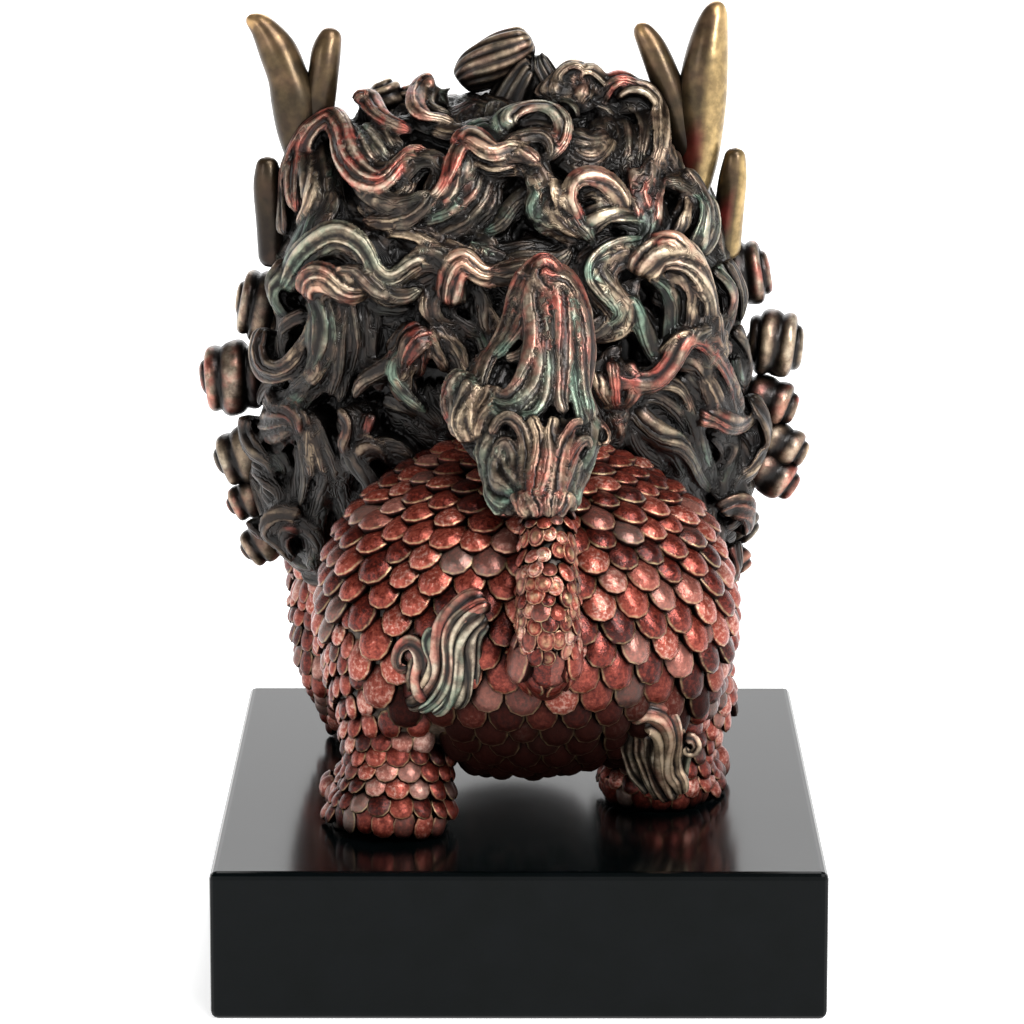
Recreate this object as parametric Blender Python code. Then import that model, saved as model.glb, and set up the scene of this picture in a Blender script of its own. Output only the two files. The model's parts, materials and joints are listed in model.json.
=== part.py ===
"""A qilin statue: one cast figure that stands on a separate bevelled plinth.

Scene units are metres, +Z is up, and the origin is the middle of the plinth's underside. The beast
looks along -Y, so its left side is at +X. The sizes below are in millimetres, turned to metres by MM.
"""

import math

import bmesh
import bpy
from mathutils import Matrix, Vector

MM = 0.001

# The plinth: a solid block with all its edges eased.
PLINTH_WIDTH = 130.0
PLINTH_LENGTH = 170.0
PLINTH_HEIGHT = 32.0
PLINTH_EDGE = 1.6
PLINTH_EDGE_STEPS = 3

# The figure stands a hair above the plinth, on soles that are cut flat.
STANDING_GAP = 0.3
SOLE_HEIGHT = PLINTH_HEIGHT + STANDING_GAP

# The fusing of the modelled forms into one casting.
CASTING_GRAIN = 1.15
CASTING_FACES = 9400

MASS_SEGMENTS = 32
MASS_RINGS = 20
LIMB_SIDES = 12
LOCK_SIDES = 8
WAVE_STATIONS = 20
WAVE_ROOT_DEPTH = 3.0
WAVE_RISE_START = 0.12
WAVE_RISE_SPAN = 0.7
PRESSING_STEPS = 14
RIM_SHARE = 0.04

# The mane is a great squarish ball behind the face, set a little to the beast's left.
MANE_CENTRE = Vector((2.5, -14.0, 130.0))
MANE_RADII = Vector((56.0, 37.0, 54.0))
MANE_SQUARENESS = 2.5

# Plain rounded masses: centre and radii.
MASSES = {
    "rump": ((-1, 31, 78), (42, 41, 35)),
    "belly": ((-1, 2, 78), (38, 42, 32)),
    "chest": ((2, -30, 82), (37, 33, 38)),
    "left thigh": ((23, 35, 74), (19, 29, 30)),
    "right thigh": ((-26, 32, 74), (19, 28, 30)),
    "left shoulder": ((34, -31, 74), (17, 22, 26)),
    "right shoulder": ((-31, -30, 74), (17, 22, 26)),
    "left mane fall": ((40, -16, 100), (21, 22, 29)),
    "right mane fall": ((-33, -16, 101), (21, 22, 29)),
    "skull": ((4.5, -42, 140), (31, 26, 31)),
    "nose bridge": ((4.5, -65, 140), (8, 13, 9)),
    "muzzle": ((4.5, -66, 128), (20, 16, 9)),
    "nose": ((4.5, -78, 134), (9, 5, 6)),
    "left nostril": ((11, -77, 132), (5, 5, 4.5)),
    "right nostril": ((-2, -77, 132), (5, 5, 4.5)),
    "jaw": ((4.5, -60, 107), (15, 17, 5.5)),
    "throat": ((4.5, -46, 108), (20, 18, 16)),
    "left eye": ((17, -63, 145), (7, 6, 6.5)),
    "right eye": ((-8, -63, 145), (7, 6, 6.5)),
    "left cheek": ((26, -50, 122), (10, 13, 14)),
    "right cheek": ((-17, -50, 122), (10, 13, 14)),
}

# Round limbs: stations of x, y, z and radius, from the body outwards.
LIMBS = {
    "left hind leg": ((25, 40, 66, 16), (26, 45, 54, 11.5), (26, 48, 44, 10.5), (27, 50, 32, 12.5)),
    "left hind foot": ((28, 50, 32, 12), (29, 40, 33, 12), (30, 30, 33, 10.5)),
    "right hind leg": ((-28, 30, 66, 16), (-35, 20, 55, 11.5), (-31, 24, 45, 10.5), (-30, 24, 33, 11.5)),
    "right hind foot": ((-30, 24, 32, 11.5), (-32, 13, 33, 12.5), (-33, 4, 33, 10)),
    "left foreleg": ((36, -30, 66, 16), (37, -29, 56, 13.5), (35, -34, 46, 12), (30, -39, 33, 11.5)),
    "left forefoot": ((30, -39, 32, 11.5), (29, -50, 33, 13), (28, -59, 33, 10)),
    "right foreleg": ((-34, -28, 66, 16), (-36, -28, 55, 12), (-32, -35, 45, 10), (-32, -37, 33, 11.5)),
    "right forefoot": ((-32, -37, 32, 11.5), (-33, -46, 33, 13), (-33, -55, 33, 10)),
    "tail": ((-3, 60, 80, 6), (-4, 71, 69, 6.5), (-6, 79, 74, 7.5), (-6, 79, 84, 7.5), (-6, 77, 93, 7),
             (-6, 72, 102, 6.5), (-5, 65, 110, 6)),
    "left antler": ((45, -8, 158, 3.6), (47, -8, 167.6, 3.8), (48.7, -8, 176.5, 5), (49.8, -8, 183.3, 5.2),
                    (51.3, -8, 188.8, 4.5), (53.6, -9, 194.4, 4.2), (57, -10, 199.3, 2.8),
                    (60.3, -10, 201.3, 1.6)),
    "left tine": ((47, -8, 172, 3.4), (45, -8, 180, 3.8), (43.4, -8, 188.8, 3.4), (42.6, -9, 194.4, 3.2),
                  (41, -10, 199, 2)),
    "right antler": ((-37, -8, 160, 4), (-39.5, -8, 171, 4.6), (-40.2, -8, 182, 5.4), (-41, -8, 191, 5),
                     (-42.3, -9, 199, 3.7), (-44, -10, 205.5, 2)),
    "right tine": ((-38, -8, 170, 3.8), (-35, -8, 179, 3.8), (-32.5, -8, 187, 3.5), (-29.2, -9, 195, 3),
                   (-26, -10, 200.3, 1.7)),
    "left ear": ((54, -8, 146, 4), (54.6, -7, 156, 3.9), (55.6, -6, 165, 3.4), (55.9, -6, 171, 2)),
    "right ear": ((-45, -8, 148, 4), (-46.3, -7, 158, 3.4), (-47.2, -6, 166.5, 3.1), (-47.8, -6, 173, 2)),
    "left brow": ((6, -70, 149, 3.5), (13, -70, 154, 5.5), (24, -62, 155, 6), (33, -52, 163, 5),
                  (36, -48, 171, 2)),
    "right brow": ((3, -70, 149, 3.5), (-4, -70, 154, 5.5), (-15, -62, 155, 6), (-24, -52, 163, 5),
                   (-27, -48, 171, 2)),
    "left moustache": ((12, -78, 126, 3), (21, -72, 123, 4.5), (30, -64, 125, 5), (37, -56, 133, 4),
                       (36, -54, 139, 2)),
    "right moustache": ((-3, -78, 126, 3), (-12, -72, 123, 4.5), (-21, -64, 125, 5), (-28, -56, 133, 4),
                        (-27, -54, 139, 2)),
}

# Toes: a middle for each paw, fanned by the gap between neighbours.
TOE_RADII = (5.2, 8.0, 6.0)
TOE_GAP = 7.5
PAWS = ((30, 29), (-33, 3), (28, -60), (-33, -56))

# Flames of hair: the way they face, then stations of x, y, z and half width.
FLAME_DEPTH_SHARE = 0.55
FLAMES = {
    "plume": ((0, 1, 0.3), (-5, 60, 112, 6), (-5, 56, 122, 9), (-6, 50, 134, 9.5), (-5, 44, 146, 7),
              (-4, 39, 154, 3)),
    "plume left lobe": ((0, 1, 0.3), (-1, 54, 134, 6), (5, 54, 127, 6), (11, 52, 122, 5), (15, 51, 125, 4),
                        (16, 50, 130, 2)),
    "plume right lobe": ((0, 1, 0.3), (-11, 52, 134, 5), (-15, 52, 127, 4.5), (-17, 51, 123, 3)),
    "palmette left": ((0, 1, 0.2), (-4, 68, 107, 3), (0, 66, 113, 4.5), (5, 62, 118, 4), (9, 60, 123, 2)),
    "palmette middle": ((0, 1, 0.2), (-5, 68, 106, 4), (-5, 66, 114, 5.5), (-5, 63, 121, 4)),
    "palmette right": ((0, 1, 0.2), (-6, 68, 107, 3), (-10, 66, 113, 4.5), (-15, 62, 118, 4),
                       (-18, 60, 123, 2)),
    "left thigh flame": ((0.3, 1, 0), (6, 73, 88, 2), (10, 73, 83, 4), (12, 72, 76, 5.5),
                         (16, 70, 68, 5.5), (21, 67, 66, 4), (24, 64, 71, 3), (22, 65, 77, 2)),
    "right hock flame": ((0, 1, 0.1), (-22, 44, 55, 2), (-28, 46, 57, 5), (-31, 45, 50, 6.5),
                         (-32, 43, 41, 5), (-32, 40, 35, 3)),
    "beard left": ((0, -1, 0), (16, -62, 106, 5), (20, -64, 98, 5.5), (17, -66, 90, 3)),
    "beard middle": ((0, -1, 0), (5, -68, 105, 6), (6, -70, 95, 6), (3, -69, 86, 3)),
    "beard right": ((0, -1, 0), (-6, -62, 106, 5), (-10, -64, 98, 5.5), (-7, -66, 90, 3)),
}

# Rolled curls round the rim of the mane: place on the rim (x, z), radius and width of the roll.
RIM_DEPTH = -16.0
RIM_CURLS = (
    ((58, 136), 8.5, 13), ((65, 119.5), 8.6, 15), ((62, 102), 6.8, 15), ((61, 92), 4.6, 12),
    ((58, 82), 5.0, 12),
    ((-51, 143.5), 7.6, 12), ((-58, 127.5), 7.8, 13), ((-56, 114.5), 5.6, 15), ((-59, 104.5), 4.8, 14),
    ((-57, 97.5), 5.2, 14), ((-49, 87), 4.8, 12), ((-48, 79.5), 3.4, 12),
    ((30, 183.5), 4.2, 8), ((19.5, 183), 3.4, 8), ((-11, 186), 4.0, 8), ((-20.5, 184), 3.8, 8),
)

# The long curl that lies on the crown, and the stem that it rolls out of.
CROWN_CURL = ((13, -10, 186.5, 3), (9.5, -10, 189.5, 5), (3, -10, 193.5, 5.2), (-2.5, -10, 197, 3.4))
CROWN_STEM = ((2, -10, 180, 7), (0, -9, 187, 5), (-3, -9, 191, 3.5), (-8, -8, 184, 3.5))

# Rings of rolled curls over the sides and front of the mane: depth, how many, and their radius.
CURL_RINGS = ((-33.0, 13, 8.2), (-45.0, 11, 7.4))
CURL_RING_SWEEP = math.radians(250)
RING_SINKING = 3.0

# Waves on the back of the mane. They are drawn as they show from the viewpoint, as x and z on an
# upright plane, and pressed onto the mane along the lines of sight. Each has its width and its
# height above the mane, then its course from the root to the tip.
VIEWPOINT = Vector((-1.3, 1153.8, 324.5))
DRAWN_DEPTH = 26.0
ROOT_BREADTH = 1.3
TIP_BREADTH = 0.8
WAVES = (
    (6, 6, (50, 160), (50, 168), (48, 175), (45, 181), (40, 184), (38, 181), (37, 175.5)),
    (6, 6, (38, 178), (36, 173), (31, 169.6), (28.5, 170), (24.5, 175), (22, 176), (19, 174.5)),
    (5, 4, (43, 178), (43, 170), (43, 164), (46, 160)),
    (5, 3, (39.5, 174), (40, 166), (39, 160), (41, 156)),
    (5, 4, (36, 181), (34, 176), (31, 173)),
    (5, 4, (34, 168), (29.5, 165), (25.5, 164.5), (22, 168)),
    (4.5, 5, (34, 187), (31.5, 186), (28, 182.5), (23, 180.2)),
    (4.5, 5, (18, 191), (21.5, 189), (22.3, 185.5), (18, 183.6), (13.7, 182.5)),
    (5.5, 6, (13, 176), (11.5, 179), (8, 177), (5, 175), (1, 176.5), (-2, 174.5), (-3, 171)),
    (5, 5, (12, 177), (13.5, 172), (16, 168), (20, 164.8)),
    (4.5, 3.5, (8.5, 172), (10, 167), (13, 163.5), (17, 162)),
    (5, 5.5, (2.5, 181), (1, 184.5), (-5, 185.8), (-9.5, 182), (-9, 177), (-6, 174)),
    (5, 5, (-21, 186), (-24, 189.5), (-28, 188.5), (-30, 182), (-30, 175), (-28.5, 171)),
    (4, 3.5, (-22, 184), (-25, 184.5), (-26.5, 179), (-26, 172)),
    (5, 5, (-13, 187), (-13, 192), (-16, 192.5), (-21, 188)),
    (6, 3.5, (-9.5, 178), (-12, 175.5), (-16, 175), (-20, 179)),
    (5, 6, (-22, 165), (-19, 169.5), (-14, 171), (-10.8, 168), (-12, 163), (-14.3, 158.5)),
    (4, 5, (-14.5, 160), (-18, 162.5), (-22, 162.5), (-26.5, 161.3)),
    (6, 4, (-5, 166), (-7, 162.5), (-10, 161), (-13.5, 161)),
    (6, 4, (-27.5, 171), (-27.5, 165), (-27.8, 159)),
    (6, 5, (-35, 157), (-38.5, 158.5), (-40.5, 162), (-39, 166), (-36, 166.5)),
    (6, 7, (50, 147), (46, 154), (40, 158), (35, 156.5), (31, 150.5), (26, 149.3), (21, 152.6), (17, 151.5)),
    (4, 6, (52, 149), (52.5, 144), (50, 140)),
    (5, 4.5, (44, 150), (40, 153.5), (35, 151), (31, 145.5), (27.5, 144.5), (22, 148)),
    (7, 8, (44, 145.5), (42, 148.5), (38, 147), (33, 146.3)),
    (8, 6, (42.5, 147), (41.5, 140), (42, 132), (45.5, 126.5), (50, 123)),
    (6, 4.5, (37, 145), (36, 139), (37, 131), (39, 124)),
    (6, 7, (54.5, 137.5), (56, 133), (54.5, 129), (50.5, 129.5), (46.8, 134), (46.5, 139)),
    (8, 7, (53, 122), (52.5, 118), (49, 116.5), (48, 112)),
    (6, 6, (58.5, 118), (58.5, 114), (56, 110.5), (53, 107)),
    (5, 6, (39, 119), (37.3, 115), (38, 111.5), (34.5, 110.5), (31, 111.3), (27, 108)),
    (7, 7, (20.5, 137), (23, 133.5), (26, 129.5)),
    (5, 6, (20.5, 136.5), (20, 131), (18, 127)),
    (5, 6, (14.8, 142.5), (14.5, 148), (12, 152.4), (7.5, 149.2), (3, 150.5), (0.5, 150.8)),
    (6, 6, (-26, 155.5), (-20, 154.5), (-16, 150.5), (-18.5, 146), (-22, 141.5), (-20, 138), (-15, 137)),
    (8, 8, (-26.5, 150), (-29, 154.5), (-34, 155.3), (-38.5, 151), (-40.5, 144), (-40, 136)),
    (6, 5, (-31, 149), (-35, 148), (-36.5, 142), (-35.5, 136)),
    (5, 5, (-42.5, 151), (-45, 147), (-45.5, 141), (-44, 135.5)),
    (5, 8, (-20, 126), (-28, 126.3), (-33, 131.5), (-36.5, 135.5), (-41, 133.5), (-45, 126), (-46.8, 121.5)),
    (6, 5, (-34, 130), (-38.5, 128.5), (-41, 123)),
    (6, 4.5, (-25.5, 122.5), (-30, 124.3), (-34.5, 121.5), (-37, 115.5)),
    (6, 6, (-25, 119), (-31, 114), (-36, 110.5), (-39, 105), (-42, 102)),
    (5, 7, (-39, 118.5), (-44, 117.5), (-49, 116.7)),
    (6, 5, (-50, 122), (-52.5, 115.5), (-51, 109.5), (-47.5, 104.5)),
    (5, 4, (-44, 114), (-46, 111), (-43.5, 105)),
    (9, 7, (-20.5, 130), (-21, 125), (-21, 119.5)),
    (6, 6, (-44, 98.5), (-48, 98.5), (-49.5, 94)),
    (6, 5, (-33, 107), (-34.5, 103), (-35, 98)),
    (7, 5, (45, 114), (46, 107), (47.5, 101), (46, 95)),
    (7, 4, (39, 113), (38, 107), (38.5, 101), (36, 96)),
    (8, 6, (49, 97), (53, 95.5), (53.5, 91.5), (50, 87)),
    (5, 5, (57.5, 107.5), (54, 103.5), (51, 98)),
    (5, 3, (19, 147), (19, 142), (15, 138.5), (10, 139)),
)


def smooth_curve(points, count):
    """Samples a Catmull-Rom curve through the points, which may have any number of values each."""
    padded = [points[0], *points, points[-1]]
    spans = len(points) - 1
    samples = []
    for i in range(count):
        place = spans * i / (count - 1)
        span = min(int(place), spans - 1)
        t = place - span
        weights = (
            0.5 * (-t + 2 * t**2 - t**3),
            0.5 * (2 - 5 * t**2 + 3 * t**3),
            0.5 * (t + 4 * t**2 - 3 * t**3),
            0.5 * (t**3 - t**2),
        )
        corners = zip(*padded[span:span + 4])
        samples.append([sum(w * value for w, value in zip(weights, axis)) for axis in corners])
    return samples


def add_rings(bm, rings):
    """Skins closed rings of points into one closed shell, with a fan over each end."""
    loops = [[bm.verts.new(p * MM) for p in ring] for ring in rings]
    for low, high in zip(loops, loops[1:]):
        for i in range(len(low)):
            j = (i + 1) % len(low)
            bm.faces.new((low[i], low[j], high[j], high[i]))
    for loop, turn in ((loops[0], -1), (loops[-1], 1)):
        middle = bm.verts.new(sum((v.co for v in loop), Vector()) / len(loop))
        for i in range(len(loop)):
            pair = (loop[i], loop[(i + 1) % len(loop)])
            bm.faces.new((*pair[::turn], middle))


def add_sweep(bm, centres, half_widths, half_depths, facings, sides):
    """Sweeps an oval section along the centres. Its half depth stands along each facing."""
    rings = []
    for i, centre in enumerate(centres):
        along = (centres[min(i + 1, len(centres) - 1)] - centres[max(i - 1, 0)]).normalized()
        across = along.cross(facings[i]).normalized()
        out = across.cross(along)
        rings.append([
            centre + across * half_widths[i] * math.cos(a) + out * half_depths[i] * math.sin(a)
            for a in (2 * math.pi * k / sides for k in range(sides))
        ])
    add_rings(bm, rings)


def round_end(share):
    """Radius factor that closes a sweep with round ends, for a place from 0 to 1 along it."""
    end_share = 0.12
    edge = min(min(share, 1 - share) / end_share, 1)
    return math.sqrt(max(0.02, 1 - (1 - edge) ** 2))


def add_mass(bm, centre, radii):
    matrix = Matrix.Translation(Vector(centre) * MM) @ Matrix.Diagonal((*(Vector(radii) * MM), 1))
    bmesh.ops.create_uvsphere(
        bm, u_segments=MASS_SEGMENTS, v_segments=MASS_RINGS, radius=1, matrix=matrix
    )


def add_mane_ball(bm):
    """A sphere swollen towards a box, as far as the mane's squareness says."""
    ball = bmesh.ops.create_uvsphere(bm, u_segments=MASS_SEGMENTS, v_segments=MASS_RINGS, radius=1)
    for vert in ball["verts"]:
        spread = sum(abs(value) ** MANE_SQUARENESS for value in vert.co)
        grown = vert.co / spread ** (1 / MANE_SQUARENESS)
        vert.co = (MANE_CENTRE + grown * MANE_RADII) * MM


def add_tapered(bm, stations, facing, depth_share):
    """Sweeps stations of x, y, z and half width, smoothed, with round ends."""
    samples = smooth_curve(stations, 5 * len(stations))
    centres = [Vector(s[:3]) for s in samples]
    widths = [s[3] * round_end(i / (len(samples) - 1)) for i, s in enumerate(samples)]
    depths = [w * depth_share for w in widths]
    add_sweep(bm, centres, widths, depths, [Vector(facing)] * len(samples), LIMB_SIDES)


def on_mane(x, z, lift):
    """Presses a drawn point onto the back of the mane, raised by the lift, and gives its normal."""
    sight = Vector((x, DRAWN_DEPTH, z)) - VIEWPOINT
    radii = MANE_RADII + Vector((lift, lift, lift))
    depth = MANE_CENTRE.y + radii.y
    for _ in range(PRESSING_STEPS):
        foot = VIEWPOINT + sight * (VIEWPOINT.y - depth) / (VIEWPOINT.y - DRAWN_DEPTH)
        u = (foot.x - MANE_CENTRE.x) / radii.x
        w = (foot.z - MANE_CENTRE.z) / radii.z
        spread = abs(u) ** MANE_SQUARENESS + abs(w) ** MANE_SQUARENESS
        v = max(1 - spread, RIM_SHARE) ** (1 / MANE_SQUARENESS)
        depth = (depth + MANE_CENTRE.y + radii.y * v) / 2
    return foot, mane_normal((u, v, w))


def mane_rim(turn, depth):
    """The point on the mane at this depth, turned from straight up towards +X, and its normal."""
    v = (depth - MANE_CENTRE.y) / MANE_RADII.y
    power = MANE_SQUARENESS
    across, up = math.sin(turn), math.cos(turn)
    room = 1 - abs(v) ** power
    scale = (room / (abs(across) ** power + abs(up) ** power)) ** (1 / power)
    shares = (across * scale, v, up * scale)
    point = MANE_CENTRE + Vector(shares) * MANE_RADII
    return point, mane_normal(shares)


def mane_normal(shares):
    """The mane's normal where its three coordinates are these shares of its radii."""
    power = MANE_SQUARENESS - 1
    return Vector([math.copysign(abs(s) ** power, s) / r for s, r in zip(shares, MANE_RADII)]).normalized()


def add_wave(bm, width, height, *course):
    """A wave of hair along its drawn course, highest past its middle and rooted in the mane."""
    path = smooth_curve(course, WAVE_STATIONS)
    centres, facings, half_widths, half_depths = [], [], [], []
    for i, (x, z) in enumerate(path):
        t = i / (WAVE_STATIONS - 1)
        crest = height * math.sin(math.pi * (WAVE_RISE_START + WAVE_RISE_SPAN * t))
        point, normal = on_mane(x, z, (crest - WAVE_ROOT_DEPTH) / 2)
        breadth = ROOT_BREADTH + (TIP_BREADTH - ROOT_BREADTH) * t
        centres.append(point)
        facings.append(normal)
        half_widths.append(width * breadth / 2 * round_end(t))
        half_depths.append((crest + WAVE_ROOT_DEPTH) / 2)
    add_sweep(bm, centres, half_widths, half_depths, facings, LOCK_SIDES)


def add_rolled_curl(bm, middle, outward, radius, width):
    """A ribbed barrel of hair whose axis points outwards from the middle of the head."""
    side = Vector((0, 1, 0)) if abs(outward.y) < 0.9 else Vector((1, 0, 0))
    other = outward.cross(side).normalized()
    side = other.cross(outward)
    stations, ribs, rib_height = 13, 3, 0.06
    rings = []
    for i in range(stations):
        u = i / (stations - 1)
        bulge = radius * math.sqrt(max(0.03, 1 - abs(2 * u - 1) ** 3))
        bulge *= 1 + rib_height * math.cos(2 * math.pi * ribs * u)
        centre = middle + outward * width * (u - 0.5)
        rings.append([
            centre + (side * math.cos(a) + other * math.sin(a)) * bulge
            for a in (2 * math.pi * k / LIMB_SIDES for k in range(LIMB_SIDES))
        ])
    add_rings(bm, rings)


def add_curls(bm):
    """The rolled curls on the rim of the mane, and those that frame the face."""
    for (x, z), radius, width in RIM_CURLS:
        outward = Vector((x - MANE_CENTRE.x, 0, z - MANE_CENTRE.z)).normalized()
        add_rolled_curl(bm, Vector((x, RIM_DEPTH, z)), outward, radius, width)
    for stations in (CROWN_CURL, CROWN_STEM):
        add_tapered(bm, stations, (0, 1, 0), 0.9)
    for depth, count, radius in CURL_RINGS:
        for i in range(count):
            turn = CURL_RING_SWEEP * (i / (count - 1) - 0.5)
            rim, outward = mane_rim(turn, depth)
            add_rolled_curl(bm, rim - outward * RING_SINKING, outward, radius, radius * 1.5)


def make_plinth():
    bpy.ops.mesh.primitive_cube_add(size=1, location=(0, 0, PLINTH_HEIGHT * MM / 2))
    plinth = bpy.context.object
    plinth.name = "plinth"
    plinth.scale = Vector((PLINTH_WIDTH, PLINTH_LENGTH, PLINTH_HEIGHT)) * MM
    bpy.ops.object.transform_apply(location=False, rotation=False, scale=True)
    bevel = plinth.modifiers.new("eased edges", "BEVEL")
    bevel.width = PLINTH_EDGE * MM
    bevel.segments = PLINTH_EDGE_STEPS
    return plinth


def make_figure():
    """The modelled forms of the beast, overlapping in one mesh and not yet fused."""
    bm = bmesh.new()
    for centre, radii in MASSES.values():
        add_mass(bm, centre, radii)
    add_mane_ball(bm)
    for x, y in PAWS:
        for step in (-1, 0, 1):
            add_mass(bm, (x + step * TOE_GAP, y + 2 * abs(step), SOLE_HEIGHT + 3), TOE_RADII)
    for stations in LIMBS.values():
        add_tapered(bm, stations, (0.9, 0.1, 0.3), 1.0)
    for facing, *stations in FLAMES.values():
        add_tapered(bm, stations, facing, FLAME_DEPTH_SHARE)
    for wave in WAVES:
        add_wave(bm, *wave)
    add_curls(bm)
    bmesh.ops.recalc_face_normals(bm, faces=bm.faces)
    mesh = bpy.data.meshes.new("qilin")
    bm.to_mesh(mesh)
    bm.free()
    figure = bpy.data.objects.new("qilin", mesh)
    bpy.context.scene.collection.objects.link(figure)
    return figure


def shell_of(seed):
    """All vertices that edges join to this one."""
    found, waiting = {seed}, [seed]
    while waiting:
        for edge in waiting.pop().link_edges:
            for vert in edge.verts:
                if vert not in found:
                    found.add(vert)
                    waiting.append(vert)
    return found


def drop_crumbs(mesh):
    """Keeps the largest shell of a mesh, and deletes the crumbs and bubbles that fusing leaves."""
    bm = bmesh.new()
    bm.from_mesh(mesh)
    left, shells = set(bm.verts), []
    while left:
        shell = shell_of(next(iter(left)))
        shells.append(shell)
        left -= shell
    largest = max(shells, key=len)
    crumbs = [vert for vert in bm.verts if vert not in largest]
    bmesh.ops.delete(bm, geom=crumbs, context="VERTS")
    bm.to_mesh(mesh)
    bm.free()


def cast_figure(figure):
    """Fuses the forms into one skin, thins its faces, and cuts the soles flat above the plinth."""
    fuse = figure.modifiers.new("one casting", "REMESH")
    fuse.mode = "VOXEL"
    fuse.voxel_size = CASTING_GRAIN * MM
    graph = bpy.context.evaluated_depsgraph_get()
    fused = bpy.data.meshes.new_from_object(figure.evaluated_get(graph))
    figure.modifiers.clear()
    drop_crumbs(fused)
    figure.data = fused
    smooth = figure.modifiers.new("worked surface", "SMOOTH")
    smooth.factor = 0.5
    smooth.iterations = 3
    thin = figure.modifiers.new("fewer faces", "DECIMATE")
    thin.ratio = CASTING_FACES / (2 * len(fused.polygons))
    depth = 20.0
    bpy.ops.mesh.primitive_cube_add(size=1, location=(0, 0, (SOLE_HEIGHT - depth / 2) * MM))
    cutter = bpy.context.object
    cutter.name = "sole_cutter"
    cutter.scale = Vector((2 * PLINTH_WIDTH, 2 * PLINTH_LENGTH, depth)) * MM
    cutter.hide_render = True
    cutter.display_type = "WIRE"
    cut = figure.modifiers.new("flat soles", "BOOLEAN")
    cut.operation = "DIFFERENCE"
    cut.object = cutter


def paint(obj, name, colour, roughness, metallic):
    material = bpy.data.materials.new(name)
    material.use_nodes = True
    shader = material.node_tree.nodes["Principled BSDF"]
    shader.inputs["Base Color"].default_value = (*colour, 1)
    shader.inputs["Roughness"].default_value = roughness
    shader.inputs["Metallic"].default_value = metallic
    obj.data.materials.clear()
    obj.data.materials.append(material)


def main():
    for obj in list(bpy.data.objects):
        bpy.data.objects.remove(obj, do_unlink=True)
    plinth = make_plinth()
    figure = make_figure()
    cast_figure(figure)
    paint(plinth, "black lacquer", (0.012, 0.013, 0.014), 0.18, 0.0)
    paint(figure, "patinated cold-cast bronze", (0.16, 0.055, 0.035), 0.38, 0.7)


main()
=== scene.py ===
"""Looks of the qilin statue: a cold-cast bronze beast with a carved mane, on a lacquered plinth.

Lengths in the tables are millimetres, turned to metres by MM. The beast looks along -Y, so its
left side is at +X.
"""

import json
import math
import random

import bmesh
import bpy
import numpy as np
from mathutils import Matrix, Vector
from mathutils.bvhtree import BVHTree
from mathutils.kdtree import KDTree

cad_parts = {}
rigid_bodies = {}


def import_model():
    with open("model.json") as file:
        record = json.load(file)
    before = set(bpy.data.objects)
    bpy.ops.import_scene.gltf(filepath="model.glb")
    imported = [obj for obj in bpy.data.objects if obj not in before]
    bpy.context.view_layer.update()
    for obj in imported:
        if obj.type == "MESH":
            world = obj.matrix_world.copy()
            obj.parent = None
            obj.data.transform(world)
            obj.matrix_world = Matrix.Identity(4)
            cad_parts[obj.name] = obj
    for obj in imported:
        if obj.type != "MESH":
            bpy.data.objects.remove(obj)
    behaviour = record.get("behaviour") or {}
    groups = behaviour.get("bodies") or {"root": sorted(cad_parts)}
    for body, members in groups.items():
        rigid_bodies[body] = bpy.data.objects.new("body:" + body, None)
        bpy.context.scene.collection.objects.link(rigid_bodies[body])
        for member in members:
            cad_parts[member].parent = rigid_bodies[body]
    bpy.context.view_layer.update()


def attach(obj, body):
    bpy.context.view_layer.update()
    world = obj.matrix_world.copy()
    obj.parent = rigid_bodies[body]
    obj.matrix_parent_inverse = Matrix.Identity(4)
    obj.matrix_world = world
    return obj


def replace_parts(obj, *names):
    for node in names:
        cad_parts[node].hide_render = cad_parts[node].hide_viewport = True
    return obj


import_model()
SEED, PLUME_SEED = 7, 11
chance = random.Random(SEED)

MM = 0.001
TURN = 2 * math.pi

# ---------------------------------------------------------------- the beast's main forms

MANE_CENTRE = np.array((3.5, -14.0, 130.0))
MANE_RADII = np.array((51.5, 37.0, 53.5))
MANE_SQUARENESS = 2.5
# Painted shade: the low hair, which lies in shade, is painted with less of the bright crest finish; heights
# between which it grows to its full share.
LOW_HAIR_SHADE_HEIGHTS = (102.0, 150.0)
# Painted shade: across the mane the crest finish fades towards the left side, which lies in shade, to this
# share, but not from these heights up to the crown.
LEFT_SHADE_WIDTHS = (5.0, 30.0)
LEFT_SHADE_SHARE = 0.56
CROWN_HEIGHTS = (136.0, 150.0)
# How far the mane shows from behind: across, and up.
MANE_SPAN = ((-56, 60), (74, 188))
# Towards its rim the mane is taken to be at least this deep, as a share.
RIM_SHARE = 0.04
SOLE_HEIGHT = 32.3
FACE_MIDDLE = 4.5

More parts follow.
